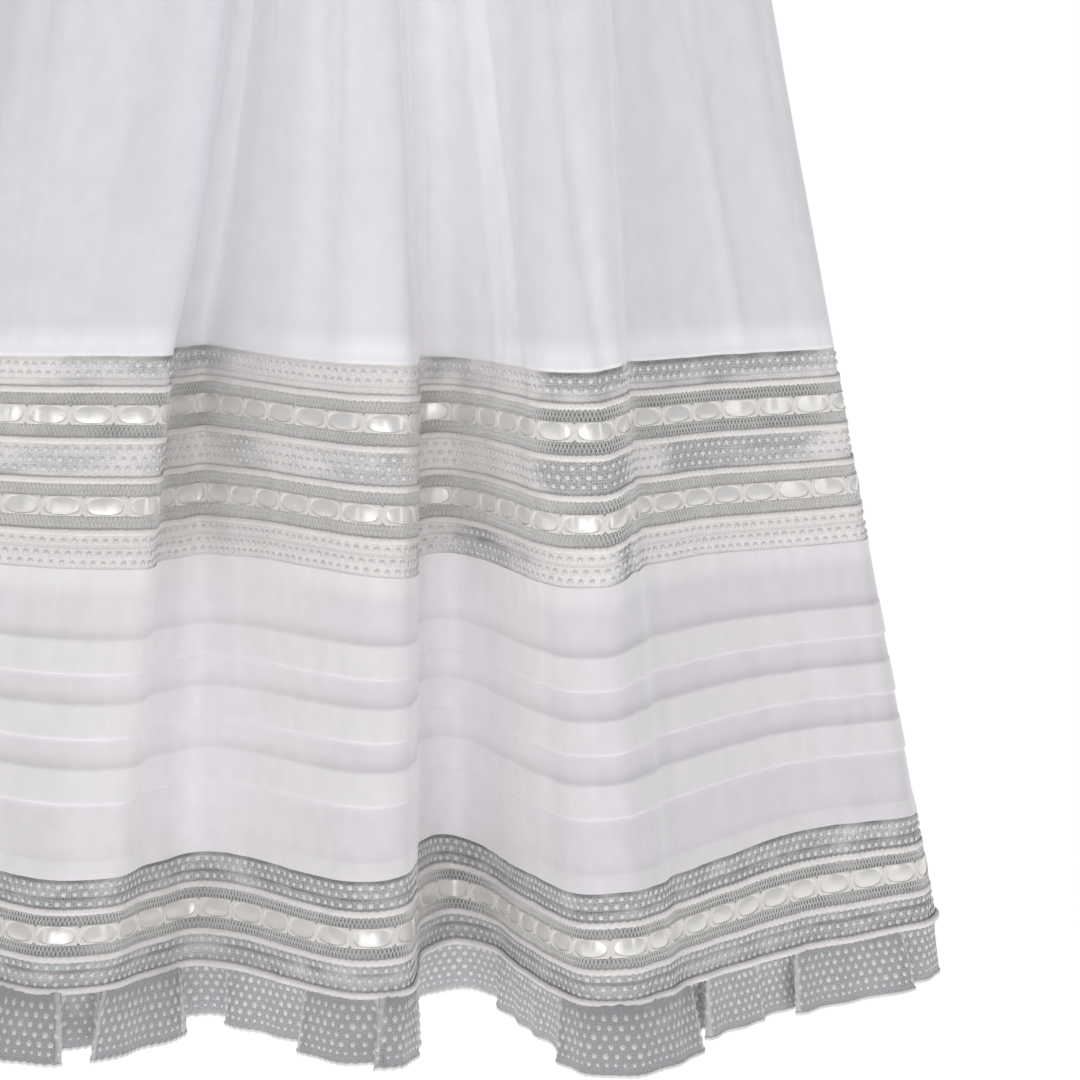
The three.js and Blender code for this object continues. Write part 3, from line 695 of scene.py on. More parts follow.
def button_material():
    """Cloudy pearl with a gloss coat."""
    material, tree, shader = surface("button_pearl", 0.2, specular=0.5)
    shader.inputs["Coat Weight"].default_value = 0.5
    clouds = object_noise(tree, 260.0, 3.0)
    tone = between(tree, clouds, 0.35, 0.65, (0.78, 0.76, 0.72), (0.86, 0.85, 0.83))
    tree.links.new(tone, shader.inputs["Base Color"])
    tree.links.new(ramp(tree, clouds, ((0.3, 0.16), (0.7, 0.26))), shader.inputs["Roughness"])
    bump(tree, shader, clouds, 0.05, 0.0002)
    return material


def floor_material():
    """Plain pale paper."""
    material, tree, shader = surface("floor_paper", 0.9)
    tone = ramp(tree, object_noise(tree, 1.5), ((0.3, 0.93), (0.7, 0.95)))
    tree.links.new(tone, shader.inputs["Base Color"])
    shader.inputs["Emission Color"].default_value = (1.0, 1.0, 1.0, 1.0)
    shader.inputs["Emission Strength"].default_value = 0.80
    return material


# The laces: level of the top, height and flat size, then how far down from the top their parts
# lie. Nets have rows of dots and dark lines, and from light on the lower edge is paler.
LACES = {
    "upper": {
        "top": UPPER_LACE_TOP_Z, "height": 85.0, "flat": (0.60, 0.085),
        "cords": (13.7, 33.9, 49.5, 69.9), "beading": (23.7, 59.6),
        "meshes": ((15.1, 20.1), (27.4, 32.4), (50.9, 55.9), (63.3, 68.6)),
        "dots": (3.9, 7.5, 37.6, 41.3, 45.0, 73.4, 78.4, 82.0), "lines": (9.6, 75.9), "light": 79.5,
    },
    "lower": {
        "top": LOWER_LACE_TOP_Z, "height": 46.0, "flat": (0.72, 0.046),
        "cords": (13.7, 32.5), "beading": (23.0,), "meshes": ((14.9, 19.4), (26.6, 31.3)),
        "dots": (3.4, 6.4, 10.4, 35.6, 39.3, 42.4), "lines": (8.4, 37.5), "light": None,
    },
}
LACE_SEAM = 2.2
LACE_RULER_DROP = 40.0
DOT_PITCH = 4.3
DOT_WIDTH = 2.3
DOT_OUT = 0.35
CORD = {"out": 0.55, "width": 3.0, "height": 0.9, "wobble": 0.28}
GATHERING_CORD = {"out": 1.35, "width": 3.0, "height": 1.8, "wobble": 0.15}
BEADING_HEIGHT = 7.8
BEADING_PITCH = 18.0
RIBBON_HEIGHT = 6.8
MESH_PITCH = 1.75


def lace_bands(made):
    """Brightness down a lace: dark seam and lines, darker mesh, lighter nets."""
    marks = [(0.0, 0.55), (LACE_SEAM, 0.55), (LACE_SEAM + 0.3, 1.0)]
    for line in made["lines"]:
        marks += [(line - 0.75, 1.0), (line - 0.4, 0.62), (line + 0.4, 0.62), (line + 0.75, 1.0)]
    for top, bottom in made["meshes"]:
        marks += [(top - 0.1, 1.0), (top, 0.58), (bottom, 0.58), (bottom + 0.1, 1.0)]
    if made["light"] is not None:
        marks += [(made["light"], 1.0), (made["light"] + 1.0, 1.2)]
    return [(place / made["height"], value) for place, value in sorted(marks)]


def lace_net(label, hole, thread):
    made = LACES[label]
    return net_material(f"{label}_net", lace_bands(made), made["height"], hole, thread, NET_PALE, 0.1)


MATERIALS = {
    "batiste": batiste_material("batiste_cloth", *COOL_BATISTE),
    "tucks": batiste_material("batiste_tucks", *WARM_BATISTE),
    "thread": thread_material("cotton_thread", (0.95, 0.915, 0.90)),
    "dots": thread_material("dot_thread", (0.85, 0.845, 0.84)),
    "mesh": thread_material("mesh_thread", (0.76, 0.755, 0.74)),
    "beading": thread_material("beading_thread", (0.92, 0.89, 0.86)),
    "satin": satin_material(),
    "button": button_material(),
    # The nets' grey hole and thread colours are painted shade: the shaded inside of the gown seen through
    # them
    "upper_net": lace_net("upper", (0.31, 0.325, 0.317), (0.56, 0.565, 0.555)),
    "lower_net": lace_net("lower", (0.285, 0.30, 0.31), (0.52, 0.53, 0.54)),
    "ruffle_net": net_material(
        "ruffle_net", ((0.0, 1.0), (0.93, 1.0), (0.96, 1.5)), 29.0,
        (0.29, 0.302, 0.318), (0.45, 0.46, 0.475), (0.74, 0.72, 0.725), 0.15,
    ),
}


def declare(piece, node_name=None):
    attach(piece, "root")
    if node_name:
        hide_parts(node_name)
    return piece


def solidify(piece, thickness):
    shell = piece.modifiers.new("thickness", "SOLIDIFY")
    shell.thickness = thickness * MM
    shell.offset = 0.0
    shell.use_even_offset = False
    return piece


SHEER = 0.35
SKIRT_SPACING = 2.5
SEAM_WHITENESS = 0.7
# Painted light on the skirt at each turn, from 0 to 1: the folds' hollows are painted whiter, to lift
# the shade that falls in them, and their crests are left darker
SKIRT_PAINTED_LIGHT = (
    (0.0, 0.1), (5.0, 0.0), (6.0, 0.6), (7.0, 0.8), (8.5, 0.6), (10.0, 0.3), (11.2, 0.1),
    (12.2, 0.8), (14.0, 0.7), (15.5, 0.7), (16.6, 0.25), (18.0, 0.15), (19.0, 0.45), (20.5, 0.5),
    (21.6, 0.1), (24.0, 0.15), (26.5, 0.2), (29.0, 0.2), (31.5, 0.6), (34.0, 0.1), (37.0, 0.6),
    (40.0, 0.15), (43.0, 0.6), (45.5, 0.15), (48.0, 0.1),
)


def whitened(turns, table, doubled):
    """Whiteness of sheer cloth on a grid: painted light from a table by turn, and where it lies double."""
    return np.clip(by_turn(turns, table)[0][None] + np.array(doubled)[:, None], 0, 1)


def skirt(side):
    """Upper skirt: gathered at the waist, its lower edge turned over the lace."""
    falls = np.concatenate([np.arange(0, 30, 2.0), np.arange(30, 90, 3.5), np.arange(90, 495, 5.0)])
    levels = list(WAIST_Z - 0.3 - falls) + [-617.5, -620.0, -622.0, -623.6]
    rows = [(z, 0.0, WAIST_Z - z) for z in levels]
    doubled = [SEAM_WHITENESS * float(1 - smooth(-617.5, -613.5, np.array(z))) for z in levels]
    turns = half_turns(side, SKIRT_SPACING)
    # Painted light from the table, with the turned-over edge whiter where it lies double
    paleness = whitened(turns, SKIRT_PAINTED_LIGHT, doubled)
    piece = cloth_grid(f"skirt_cloth_{side}", turns, rows, MATERIALS["batiste"], -400, paleness)
    solidify(piece, SHEER)
    declare(piece, f"skirt_{side}")


def tuck_rows():
    """Profile down the tuck panel, with each tuck as a flat fold that hangs over the cloth, and
    how white each row is, from 0 where the cloth lies single to 1 in a fold."""
    rows, shades = [], []
    length = 0.0

    def add(z, out, shade):
        nonlocal length
        if rows:
            length += math.hypot(z - rows[-1][0], out - rows[-1][1])
        rows.append((z, out, length))
        shades.append(shade)

    top = UPPER_LACE_BOTTOM_Z + 0.8
    for drop, out in ((0.0, 0.75), (1.2, 0.7), (3.5, 0.45), (6.0, 0.3)):
        add(top - drop, out, 0.9)
    last = top - 6.0
    for edge in TUCK_EDGES_Z:
        stitch = edge + TUCK_HEIGHT
        for z in np.linspace(last, stitch, max(3, round((last - stitch) / 4)))[1:]:
            add(z, 0.2, 0.0)
        for share in (0.03, 0.12, 0.3, 0.5, 0.7, 0.88, 0.97):
            add(stitch - share * TUCK_HEIGHT, mix(0.55, TUCK_RISE, share), 1.0)
        add(edge, TUCK_RISE - 0.1, 1.0)
        add(edge + 0.15, TUCK_RISE - 0.55, 1.0)
        for share in (0.9, 0.6, 0.3, 0.06):
            add(stitch - share * TUCK_HEIGHT, mix(0.35, TUCK_RISE - 0.9, share), 1.0)
        for share in (0.08, 0.4, 0.75, 1.05):
            add(stitch - share * TUCK_HEIGHT, 0.05, 0.0)
        last = stitch - 1.05 * TUCK_HEIGHT
    bottom = LOWER_LACE_TOP_Z
    for z in np.linspace(last, bottom + 6.5, 5)[1:]:
        add(z, 0.2, 0.0)
    for drop, out in ((5.8, 0.35), (3.5, 0.45), (1.0, 0.7), (-0.9, 0.75)):
        add(bottom + drop, out, 0.9)
    return rows, shades


TUCK_SPACING = 2.7
TUCK_FOLD_WHITENESS = 0.45
# Painted light and shade on the tuck panel at each turn, from 0 to 1: lighter from the gown's right side
# seam to the middle of the front, towards the key light, and darker towards its left side seam
TUCK_PAINTED_LIGHT = (
    (0.0, 0.45), (4.0, 0.6), (7.0, 1.0), (8.5, 0.95), (10.0, 0.4), (11.0, 0.3), (12.3, 0.95),
    (16.2, 1.0), (17.3, 0.3), (18.5, 0.05), (20.0, 0.0), (21.5, 0.2), (24.0, 0.1), (25.5, 0.0),
    (29.0, 0.3), (32.0, 0.6), (35.0, 0.2), (38.0, 0.55), (42.0, 0.25), (45.0, 0.5), (48.0, 0.45),
)


def tuck_panel(side):
    rows, folds = tuck_rows()
    turns = half_turns(side, TUCK_SPACING)
    # Painted light from the table, whiter in the tucks' folds where the cloth lies double
    shades = whitened(turns, TUCK_PAINTED_LIGHT, TUCK_FOLD_WHITENESS * np.array(folds))
    piece = cloth_grid(f"tuck_cloth_{side}", turns, rows, MATERIALS["tucks"], -765, shades)
    declare(piece, f"tuck_panel_{side}")


DOME_SIDES = 6
DOME_ANGLES = circle(DOME_SIDES)


def domes(place_at, lengths, levels, sizes, rings):
    """Low round dots of thread. Their rings are (reach, rise), and place_at lies them down."""
    points = []
    for reach, rise in rings:
        spread = DOME_ANGLES if reach else DOME_ANGLES[:1]
        along = lengths[:, None] + sizes[:, None] * reach * np.cos(spread)
        level = levels[:, None] + sizes[:, None] * reach * np.sin(spread)
        points.append(place_at(along, level, rise))
    stacked = np.concatenate(points, axis=1)
    pattern = []
    for k in range(DOME_SIDES):
        after, upper = (k + 1) % DOME_SIDES, k + DOME_SIDES
        upper_after = after + DOME_SIDES
        pattern += [(k, after, upper_after), (k, upper_after, upper), (upper, upper_after, 2 * DOME_SIDES)]
    return stacked.reshape(-1, 3), repeated(pattern, stacked)


def repeated(pattern, stacked):
    """The faces of one small form, for each of the forms whose points are stacked."""
    starts = (np.arange(len(stacked)) * stacked.shape[1])[:, None, None]
    faces = np.array(pattern)[None] + starts
    return faces.reshape(-1, faces.shape[-1])


def dots(side, top, rows):
    """Dots of a lace, in staggered rows."""
    first, last, to_turn = half_ruler(side, top - LACE_RULER_DROP)
    count = int((last - first) / DOT_PITCH)
    lengths, levels = [], []
    for index, drop in enumerate(rows):
        lengths.append(spaced(first, last, count, 0.25 if index % 2 else 0.75))
        levels.append(np.full(count, top - drop))
    lengths, levels = np.concatenate(lengths), np.concatenate(levels)
    sizes = DOT_WIDTH * np.random.default_rng(5).uniform(0.85, 1.12, len(lengths)) / 2

    def place_at(along, level, rise):
        return on_cloth(to_turn(along), level, DOT_OUT + rise)

    return domes(place_at, lengths, levels, sizes, ((1.0, 0.0), (0.72, 0.34), (0.0, 0.5)))


THREAD_LEAN = 2.4
THREAD_SECTION = ((-0.28, 0.2), (0.28, 0.2), (0.0, 0.6))
THREAD_FACES = ((0, 3, 4, 1), (1, 4, 5, 2), (2, 5, 3, 0))


def mesh_threads(side, top, zones):
    """Fine threads that cross in a zigzag inside each open zone of the lace."""
    first, last, to_turn = half_ruler(side, top - LACE_RULER_DROP)
    starts = spaced(first, last, int((last - first) / MESH_PITCH))
    parts = []
    for upper, lower in zones:
        for lean in (-THREAD_LEAN, THREAD_LEAN):
            ends = np.clip(starts + lean, first, last)
            points = []
            for lengths, level in ((starts, top - upper + 0.2), (ends, top - lower - 0.2)):
                for across, out in THREAD_SECTION:
                    points.append(on_cloth(to_turn(lengths + across), level, out))
            stacked = np.stack(points, axis=1)
            parts.append((stacked.reshape(-1, 3), repeated(THREAD_FACES, stacked)))
    return joined(parts)


WINDOW_SIDES = 28
WINDOW_SQUARENESS = 0.92
BAR_HALF_WIDTH, BEADING_RIM = 1.5, 0.3


def beading(side, top, drops):
    """A woven band with oval windows between narrow-waisted bars, over the ribbon."""
    angles = circle(WINDOW_SIDES, 0.5)
    waves = np.stack([np.cos(angles), np.sin(angles)], axis=1)
    rounded = np.sign(waves) * np.abs(waves) ** WINDOW_SQUARENESS
    parts = []
    for drop in drops:
        first, last, to_turn = half_ruler(side, top - drop)
        count = round((last - first) / BEADING_PITCH)
        period = (last - first) / count
        middles = first + (np.arange(count) + 0.5) * period
        oval = rounded * (period / 2 - BAR_HALF_WIDTH, BEADING_HEIGHT / 2 - BEADING_RIM)
        limits = np.array([period / 2, BEADING_HEIGHT / 2])
        box = oval * np.min(limits / np.maximum(np.abs(oval), 1e-6), axis=1)[:, None]
        rings = ((oval, 0.3), (oval, 0.85), (mix(oval, box, 0.45), 1.0), (box, 0.7))
        points = []
        for shape, out in rings:
            lengths = middles[:, None] + shape[:, 0][None]
            points.append(on_cloth(to_turn(lengths), top - drop + shape[:, 1][None], out))
        stacked = np.concatenate(points, axis=1)
        pattern = np.roll(grid_faces(len(rings), WINDOW_SIDES, True), 1, axis=1)
        parts.append((stacked.reshape(-1, 3), repeated(pattern, stacked)))
    return joined(parts)


LACE_SPACING, CORD_SPACING = 2.6, 1.55
# Painted light on the lower lace's net, the same all round
LOWER_NET_PAINTED_LIGHT = 0.16


def lace(side, label):
    """One half of a lace: its net, then the cords, crossing threads, dots and beading on it."""
    made = LACES[label]
    top, height = made["top"], made["height"]
    turns, fine = half_turns(side, LACE_SPACING), half_turns(side, CORD_SPACING)
    drops = np.linspace(0.2, height - 0.1, round(height / 3) + 1)
    rows = [(top - drop, 0.0, drop) for drop in drops]
    # Painted light on the net: even on the lower lace, a table by turn on the upper
    shades = np.full((len(drops), len(turns)), LOWER_NET_PAINTED_LIGHT)
    if label == "upper":
        shades = net_painted_light(turns, drops)
    middle = top - height / 2
    net = cloth_grid(f"{label}_net_{side}", turns, rows, MATERIALS[f"{label}_net"], middle, shades)
    declare(net, f"{label}_lace_{side}")
    cords = joined([tube(fine, top - drop, **CORD) for drop in made["cords"]])
    threads = mesh_threads(side, top, made["meshes"])
    added = [
        build(f"{label}_cords_{side}", *cords, MATERIALS["thread"]),
        build(f"{label}_mesh_{side}", *threads, MATERIALS["mesh"], flat=True),
        build(f"{label}_dots_{side}", *dots(side, top, made["dots"]), MATERIALS["dots"]),
        build(f"{label}_beading_{side}", *beading(side, top, made["beading"]), MATERIALS["beading"]),
    ]
    return [net] + [declare(piece) for piece in added]


RIBBON_STEPS = 12


def ribbon(label, row, name, node_name):
    """Satin ribbon, which rises in the beading's windows and is pinched under its bars."""
    middle = LACES[label]["top"] - LACES[label]["beading"][row]
    lengths, turns, rise = [], [], []
    for side in HALVES:
        first, last, to_turn = half_ruler(side, middle)
        count = round((last - first) / BEADING_PITCH)
        steps = np.arange(count * RIBBON_STEPS)
        lengths.append(first + (last - first) * steps / (count * RIBBON_STEPS))
        turns.append(to_turn(lengths[-1]))
        rise.append(np.abs(np.sin(steps / RIBBON_STEPS * math.pi)) ** 0.8)
    lengths, turns, rise = (np.concatenate(parts) for parts in (lengths, turns, rise))
    shares = np.linspace(1, -1, 7)
    level = middle + shares[:, None] * RIBBON_HEIGHT / 2 * mix(0.9, 1.0, rise)
    crown = (1 - shares[:, None] ** 2) ** 0.7
    out = 0.3 + rise * (0.2 + 0.3 * crown)
    points = on_cloth(turns[None], level, out).reshape(-1, 3)
    uv = flat_uv(lengths, shares * RIBBON_HEIGHT / 2)
    faces = grid_faces(len(shares), len(lengths), True)
    declare(build(name, points, faces, MATERIALS["satin"], uv), node_name)


def ruffle_columns(side):
    first, last = HALVES[side]
    if side == "front":
        stretches = FRONT_RUFFLE
    else:
        stretches = []
        span = last - first
        for i in range(1, BACK_RUFFLE_STRETCHES + 1):
            uneven = BACK_RUFFLE_UNEVEN * math.sin(i * 2.4) if i < BACK_RUFFLE_STRETCHES else 0.0
            until = first + span * (i + uneven) / BACK_RUFFLE_STRETCHES
            stretches.append((until, BACK_RUFFLE_SWINGS[i % len(BACK_RUFFLE_SWINGS)]))
        stretches[0] = (stretches[0][0], FRONT_RUFFLE[-1][1])
        stretches[-1] = (stretches[-1][0], FRONT_RUFFLE[0][1])
    columns = []
    start = first
    for i, (end, swing) in enumerate(stretches):
        middles = max(1, math.floor(end - start + 0.5))
        columns.append((start, swing, 0.0 if i == 0 else -1.0))
        for m in range(1, middles + 1):
            columns.append((mix(start, end, m / (middles + 1)), swing * RUFFLE_CROWN, 0.0))
        columns.append((end, swing, 0.0 if i == len(stretches) - 1 else 1.0))
        start = end
    return np.array(columns)


def ruffle_line(columns, z, facing):
    """The ruffle's plan at one level, from its columns of turn, swing and lean."""
    turns = np.clip(columns[:, 0], 0, TURNS_ROUND - 1e-6)
    from_seam = np.minimum(turns - turns[0], turns[-1] - turns)
    straight = RUFFLE_STRAIGHT * smooth(0, RUFFLE_TURNED_FOLDS, from_seam)[:, None]
    place, normal = plan_at(turns, np.full(len(turns), z))
    fall = (RUFFLE_TOP_Z - z) / (RUFFLE_TOP_Z - HEM_Z)
    share = mix(RUFFLE_TOP_SHARE, 1, math.sqrt(fall)) if fall > 0 else 0.0
    toward = unit(mix(normal, np.array([0.0, facing]), straight))
    move = (columns[:, 1] * RUFFLE_SWING * share)[:, None]
    slide = (columns[:, 2] * RUFFLE_LEAN * mix(RUFFLE_TOP_LEAN_SHARE, 1, share))[:, None]
    tangent = np.stack([-normal[:, 1], normal[:, 0]], axis=1)
    return place + toward * move + tangent * slide


def refined(line, times):
    """Smooth curve through a line's points, with so many steps between each two."""
    padded = np.vstack([2 * line[0] - line[1], line, 2 * line[-1] - line[-2]])
    f = (np.arange(times) / times)[:, None, None]
    a, b, c, d = (padded[k : len(padded) - 3 + k][None] for k in range(4))
    bend, lean, first = curve_terms(a, b, c, d)
    curve = ((bend * f + lean) * f + first) * f + b
    flat = curve.transpose(1, 0, 2).reshape(-1, line.shape[1])
    return np.vstack([flat, line[-1:]])


RUFFLE_STEPS = 10
RUFFLE_ROWS = 13
RUFFLE_SPACING = 1.7
RUFFLE_DROP = 22.6
PALE_FOLD_REACH = 1.6
# Dots of the ruffle: how far down each row lies, its pitch and the width of its dots
RUFFLE_DOTS = (
    (2.8, 4.6, 2.4), (6.0, 4.6, 2.4), (9.2, 4.6, 2.4), (12.4, 4.6, 2.4), (15.6, 4.6, 2.4),
    (18.6, 3.6, 1.7),
)
RUFFLE_EDGE = {"width": 1.8, "height": 0.9}


def ruffle_grid(side):
    """The ruffle's points and their outward directions, lengths along it, and its turned folds."""
    columns = ruffle_columns(side)
    below = np.linspace(RUFFLE_TOP_Z - 0.3, HEM_Z + 0.4, RUFFLE_ROWS - 1)
    levels = np.concatenate([[RUFFLE_TOP_Z + 2.2], below])
    facing = -1.0 if side == "front" else 1.0
    rows = np.array([refined(ruffle_line(columns, z, facing), RUFFLE_STEPS) for z in levels])
    steps = np.arange((len(columns) - 1) * RUFFLE_STEPS + 1) / RUFFLE_STEPS
    turns = np.interp(steps, np.arange(len(columns)), columns[:, 0])
    along = lengths_along(rows[RUFFLE_ROWS // 2])
    even = np.linspace(0, along[-1], round(along[-1] / RUFFLE_SPACING) + 1)
    sunk = sway(np.interp(even, along, turns), np.full(len(even), RUFFLE_TOP_Z))
    points = np.zeros((RUFFLE_ROWS, len(even), 3))
    for k in (0, 1):
        points[:, :, k] = [np.interp(even, along, row[:, k]) for row in rows]
    points[:, :, 2] = levels[:, None] + sunk
    slopes = unit(np.gradient(points[:, :, :2], axis=1))
    normals = np.stack([slopes[:, :, 1], -slopes[:, :, 0]], axis=2)
    share = np.concatenate([[0.0], np.linspace(0, 1, RUFFLE_ROWS - 1)])[:, None]
    ripple = 0.4 * np.sin(even * 2 * math.pi / 6.3 + 2 * np.sin(even / 17)) * (1 - share) ** 1.5
    ripple += 0.9 * np.sin(even * 2 * math.pi / 23 + 1.5 * np.sin(even / 31)) * share
    ripple *= smooth(0, 8, np.minimum(even, even[-1] - even))
    points[:, :, :2] += normals * ripple[:, :, None]
    points[-1, :, 2] += 0.35 * np.cos(even * 2 * math.pi / 3.4)
    folds = along[np.nonzero(columns[:, 2])[0] * RUFFLE_STEPS]
    return points, normals, even, folds


def ruffle_spot(points, normals, even, along, drop, out):
    """A place on the ruffle, between its rows and columns."""
    column = np.interp(along, even, np.arange(len(even)))
    row = 1 + np.clip(drop / RUFFLE_DROP, 0, 1) * (RUFFLE_ROWS - 2)
    i, j = np.minimum(row.astype(int), RUFFLE_ROWS - 2), np.minimum(column.astype(int), len(even) - 2)
    fr, fc = (row - i)[..., None], (column - j)[..., None]
    above = mix(points[i, j], points[i, j + 1], fc)
    found = mix(above, mix(points[i + 1, j], points[i + 1, j + 1], fc), fr)
    found[..., :2] += normals[i, j] * out
    return found


def ruffle(side):
    """One half of the ruffle: its net, the dots on both of its faces, and its edge."""
    points, normals, even, folds = ruffle_grid(side)
    uv = flat_uv(even, np.linspace(0, RUFFLE_DROP + 6, RUFFLE_ROWS))
    from_fold = np.min(np.abs(even[None] - folds[:, None]), axis=0)
    pale = np.tile(np.exp(-((from_fold / PALE_FOLD_REACH) ** 2)), RUFFLE_ROWS)
    faces = grid_faces(RUFFLE_ROWS, len(even))
    net = build(
        f"ruffle_net_{side}", points.reshape(-1, 3), faces, MATERIALS["ruffle_net"], uv, pale
    )
    declare(net, f"hem_ruffle_{side}")
    random = np.random.default_rng(9)
    parts = []
    for face in (1, -1):

        def place_at(along, level, rise):
            return ruffle_spot(points, normals, even, along, -level, rise * face)

        for index, (drop, pitch, width) in enumerate(RUFFLE_DOTS):
            count = int((even[-1] - 4) / pitch)
            along = spaced(2, even[-1] - 2, count, 0.3 if index % 2 else 0.8)
            sizes = width / 2 * random.uniform(0.85, 1.1, count)
            rings = ((1.0, 0.02), (0.7, 0.34), (0.0, 0.46))
            spots, triangles = domes(place_at, along, np.full(count, -drop), sizes, rings)
            parts.append((spots, triangles[:, ::face]))
    added = [
        build(f"ruffle_dots_{side}", *joined(parts), MATERIALS["dots"]),
        build(f"ruffle_edge_{side}", *edge_cord(points[-1], **RUFFLE_EDGE), MATERIALS["dots"]),
    ]
    return [net] + [declare(piece) for piece in added]


def edge_cord(line, width, height):
    """A cord along any open line of points, flattened sideways."""
    slopes = unit(np.gradient(line, axis=0))
    up = unit(np.array([0.0, 0.0, 1.0]) - slopes * slopes[:, 2:3])
    across = np.cross(up, slopes)
    rows = [
        line + up * (width / 2 * math.cos(a)) - across * (height / 2 * math.sin(a))
        for a in CORD_ANGLES
    ]
    return np.concatenate(rows), grid_faces(CORD_SIDES, len(line), False, True)[:, ::-1]


BODICE_STRAIGHT = UNDERARM_Z - WAIST_Z
SHOULDER_ARC = math.pi / 4 * (BODICE_HALF_DEPTH - UNDERARM_Z)


def bodice_place(side, climb, facing):
    angle = np.arcsin(side)
    over = np.maximum(0, (climb - BODICE_STRAIGHT) / SHOULDER_ARC) * math.pi / 2
    z = np.where(climb <= BODICE_STRAIGHT, WAIST_Z + climb, UNDERARM_Z - UNDERARM_Z * np.sin(over))
    depth = BODICE_HALF_DEPTH * np.cos(angle) * np.cos(over)
    return np.stack([BODICE_HALF_WIDTH * side, facing * depth, z + 0 * side], axis=-1)


def on_bodice(side, climb, facing, out):
    """Points on the bodice, so far outside the middle of its cloth."""
    side, climb, out = np.broadcast_arrays(
        np.asarray(side, float), np.asarray(climb, float), np.asarray(out, float)
    )
    nudge = 1e-3
    inwards = np.where(side > 0, -nudge, nudge)
    here = bodice_place(side, climb, facing)
    across = (bodice_place(side + inwards, climb, facing) - here) * np.sign(inwards)[..., None]
    upwards = here - bodice_place(side, climb - nudge, facing)
    normal = unit(np.cross(across, upwards) * -facing)
    wrinkle = 0.5 * np.sin(side * 23 + 2 * np.sin(climb / 21)) * np.sin(np.pi * np.clip(climb / 95, 0, 1))
    return here + normal * (out + wrinkle)[..., None]


def climb_of(z):
    z = np.asarray(z, float)
    over = np.arcsin(np.clip((z - UNDERARM_Z) / -UNDERARM_Z, 0, 1)) / (math.pi / 2)
    return np.where(z <= UNDERARM_Z, z - WAIST_Z, BODICE_STRAIGHT + SHOULDER_ARC * over)


def bodice_top(side, neck_drop):
    across = np.abs(side)
    neck = -neck_drop * np.sqrt(np.clip(1 - (across / NECK_SHARE) ** 2, 0, 1))
    share = np.clip((across - ARMHOLE_SHARE) / (1 - ARMHOLE_SHARE), 0, 1)
    armhole = UNDERARM_Z * np.sqrt(1 - (1 - share) ** 2)
    return np.where(across < NECK_SHARE, neck, np.where(across <= ARMHOLE_SHARE, 0.0, armhole))


def half_sides():
    """Places across half the bodice, closer together where its edges turn steeply."""
    t = np.linspace(0, math.pi / 2, 22)
    neck = NECK_SHARE * np.sin(t)
    shoulder = np.linspace(NECK_SHARE, ARMHOLE_SHARE, 12)[1:-1]
    armhole = ARMHOLE_SHARE + (1 - ARMHOLE_SHARE) * (1 - np.cos(t))
    return np.concatenate([neck, shoulder, np.minimum(armhole, 0.99999)])


BODICE_ROWS = 26
BODICE_THICKNESS = 0.45
BODICE_WHITENESS, BOUND_WHITENESS, PIPING_WHITENESS = 0.4, 0.9, 0.8
BOUND_FROM = 0.93
SHOULDER_END = 0.9985
WAIST_CORD_OUT, WAIST_CORD_UP = 1.3, 0.5
LAP = BACK_LAP / BODICE_HALF_WIDTH


def bodice_panel(label, sides, neck_drop, node_name, flat, lift=None):
    """One piece of the bodice. lift says how far it is raised at each place across."""
    facing = -1 if label == "front" else 1
    shares = np.linspace(1, 0, BODICE_ROWS)[:, None]
    highest = BODICE_STRAIGHT + SHOULDER_ARC * SHOULDER_END
    tops = np.minimum(climb_of(bodice_top(sides, neck_drop)), highest)
    climbs = tops[None, :] * shares
    raised = np.zeros(len(sides)) if lift is None else lift(sides)
    points = on_bodice(sides[None, :], climbs, facing, raised[None, :])
    u = np.arcsin(np.broadcast_to(sides, climbs.shape)) * BODICE_HALF_WIDTH * MM
    uv = np.stack([u, climbs * MM], axis=-1).reshape(-1, 2)
    whiteness = np.where(shares.ravel() > BOUND_FROM, BOUND_WHITENESS, BODICE_WHITENESS)
    piece = build(
        f"bodice_cloth_{label}", points.reshape(-1, 3), grid_faces(BODICE_ROWS, len(sides)),
        MATERIALS["batiste"], uv, np.repeat(whiteness, len(sides)),
    )
    solidify(piece, BODICE_THICKNESS)
    declare(piece, node_name)
    return piece, points, flat


def piping(name, lines, width, height):
    """Cloth cord along each of some lines."""
    points, faces = joined([edge_cord(line, width, height) for line in lines])
    whiteness = np.full(len(points), PIPING_WHITENESS)
    declare(build(name, points, faces, MATERIALS["batiste"], points[:, :2] * MM, whiteness))


def lap_lift(sides):
    return LAP_RISE * (1 - smooth(1.2 * LAP, 2.2 * LAP, sides))


def bodice():
    """The three panels, their bound edges, the waist seam and the buttons."""
    half = half_sides()
    front_sides = np.concatenate([-half[:0:-1], half])
    left_sides = np.concatenate([half[:0:-1], np.linspace(0, -LAP, 5)])
    right_sides = np.concatenate([np.linspace(LAP, 0, 5), -half[1:]])
    panels = [
        bodice_panel("front", front_sides, FRONT_NECK_DROP, "bodice_front", (0.29, 0.122)),
        bodice_panel(
            "left", left_sides, BACK_NECK_DROP, "bodice_back_left", (0.155, 0.122), lap_lift
        ),
        bodice_panel("right", right_sides, BACK_NECK_DROP, "bodice_back_right", (0.155, 0.122)),
    ]
    piping("bodice_edges", [points[0] for _, points, _ in panels], 1.8, 1.3)
    waist = []
    for _, points, _ in panels:
        line = points[-1]
        outward = line * (1.0, 1.0, 0.0) / np.linalg.norm(line[:, :2], axis=1, keepdims=True)
        waist.append(line + outward * WAIST_CORD_OUT + (0.0, 0.0, WAIST_CORD_UP))
    piping("waist_seam", waist, 2.6, 2.8)
    for i, z in enumerate(BUTTON_LEVELS_Z):
        button(f"pearl_{i + 1}", button_place(climb_of(z)), f"button_{i + 1}")


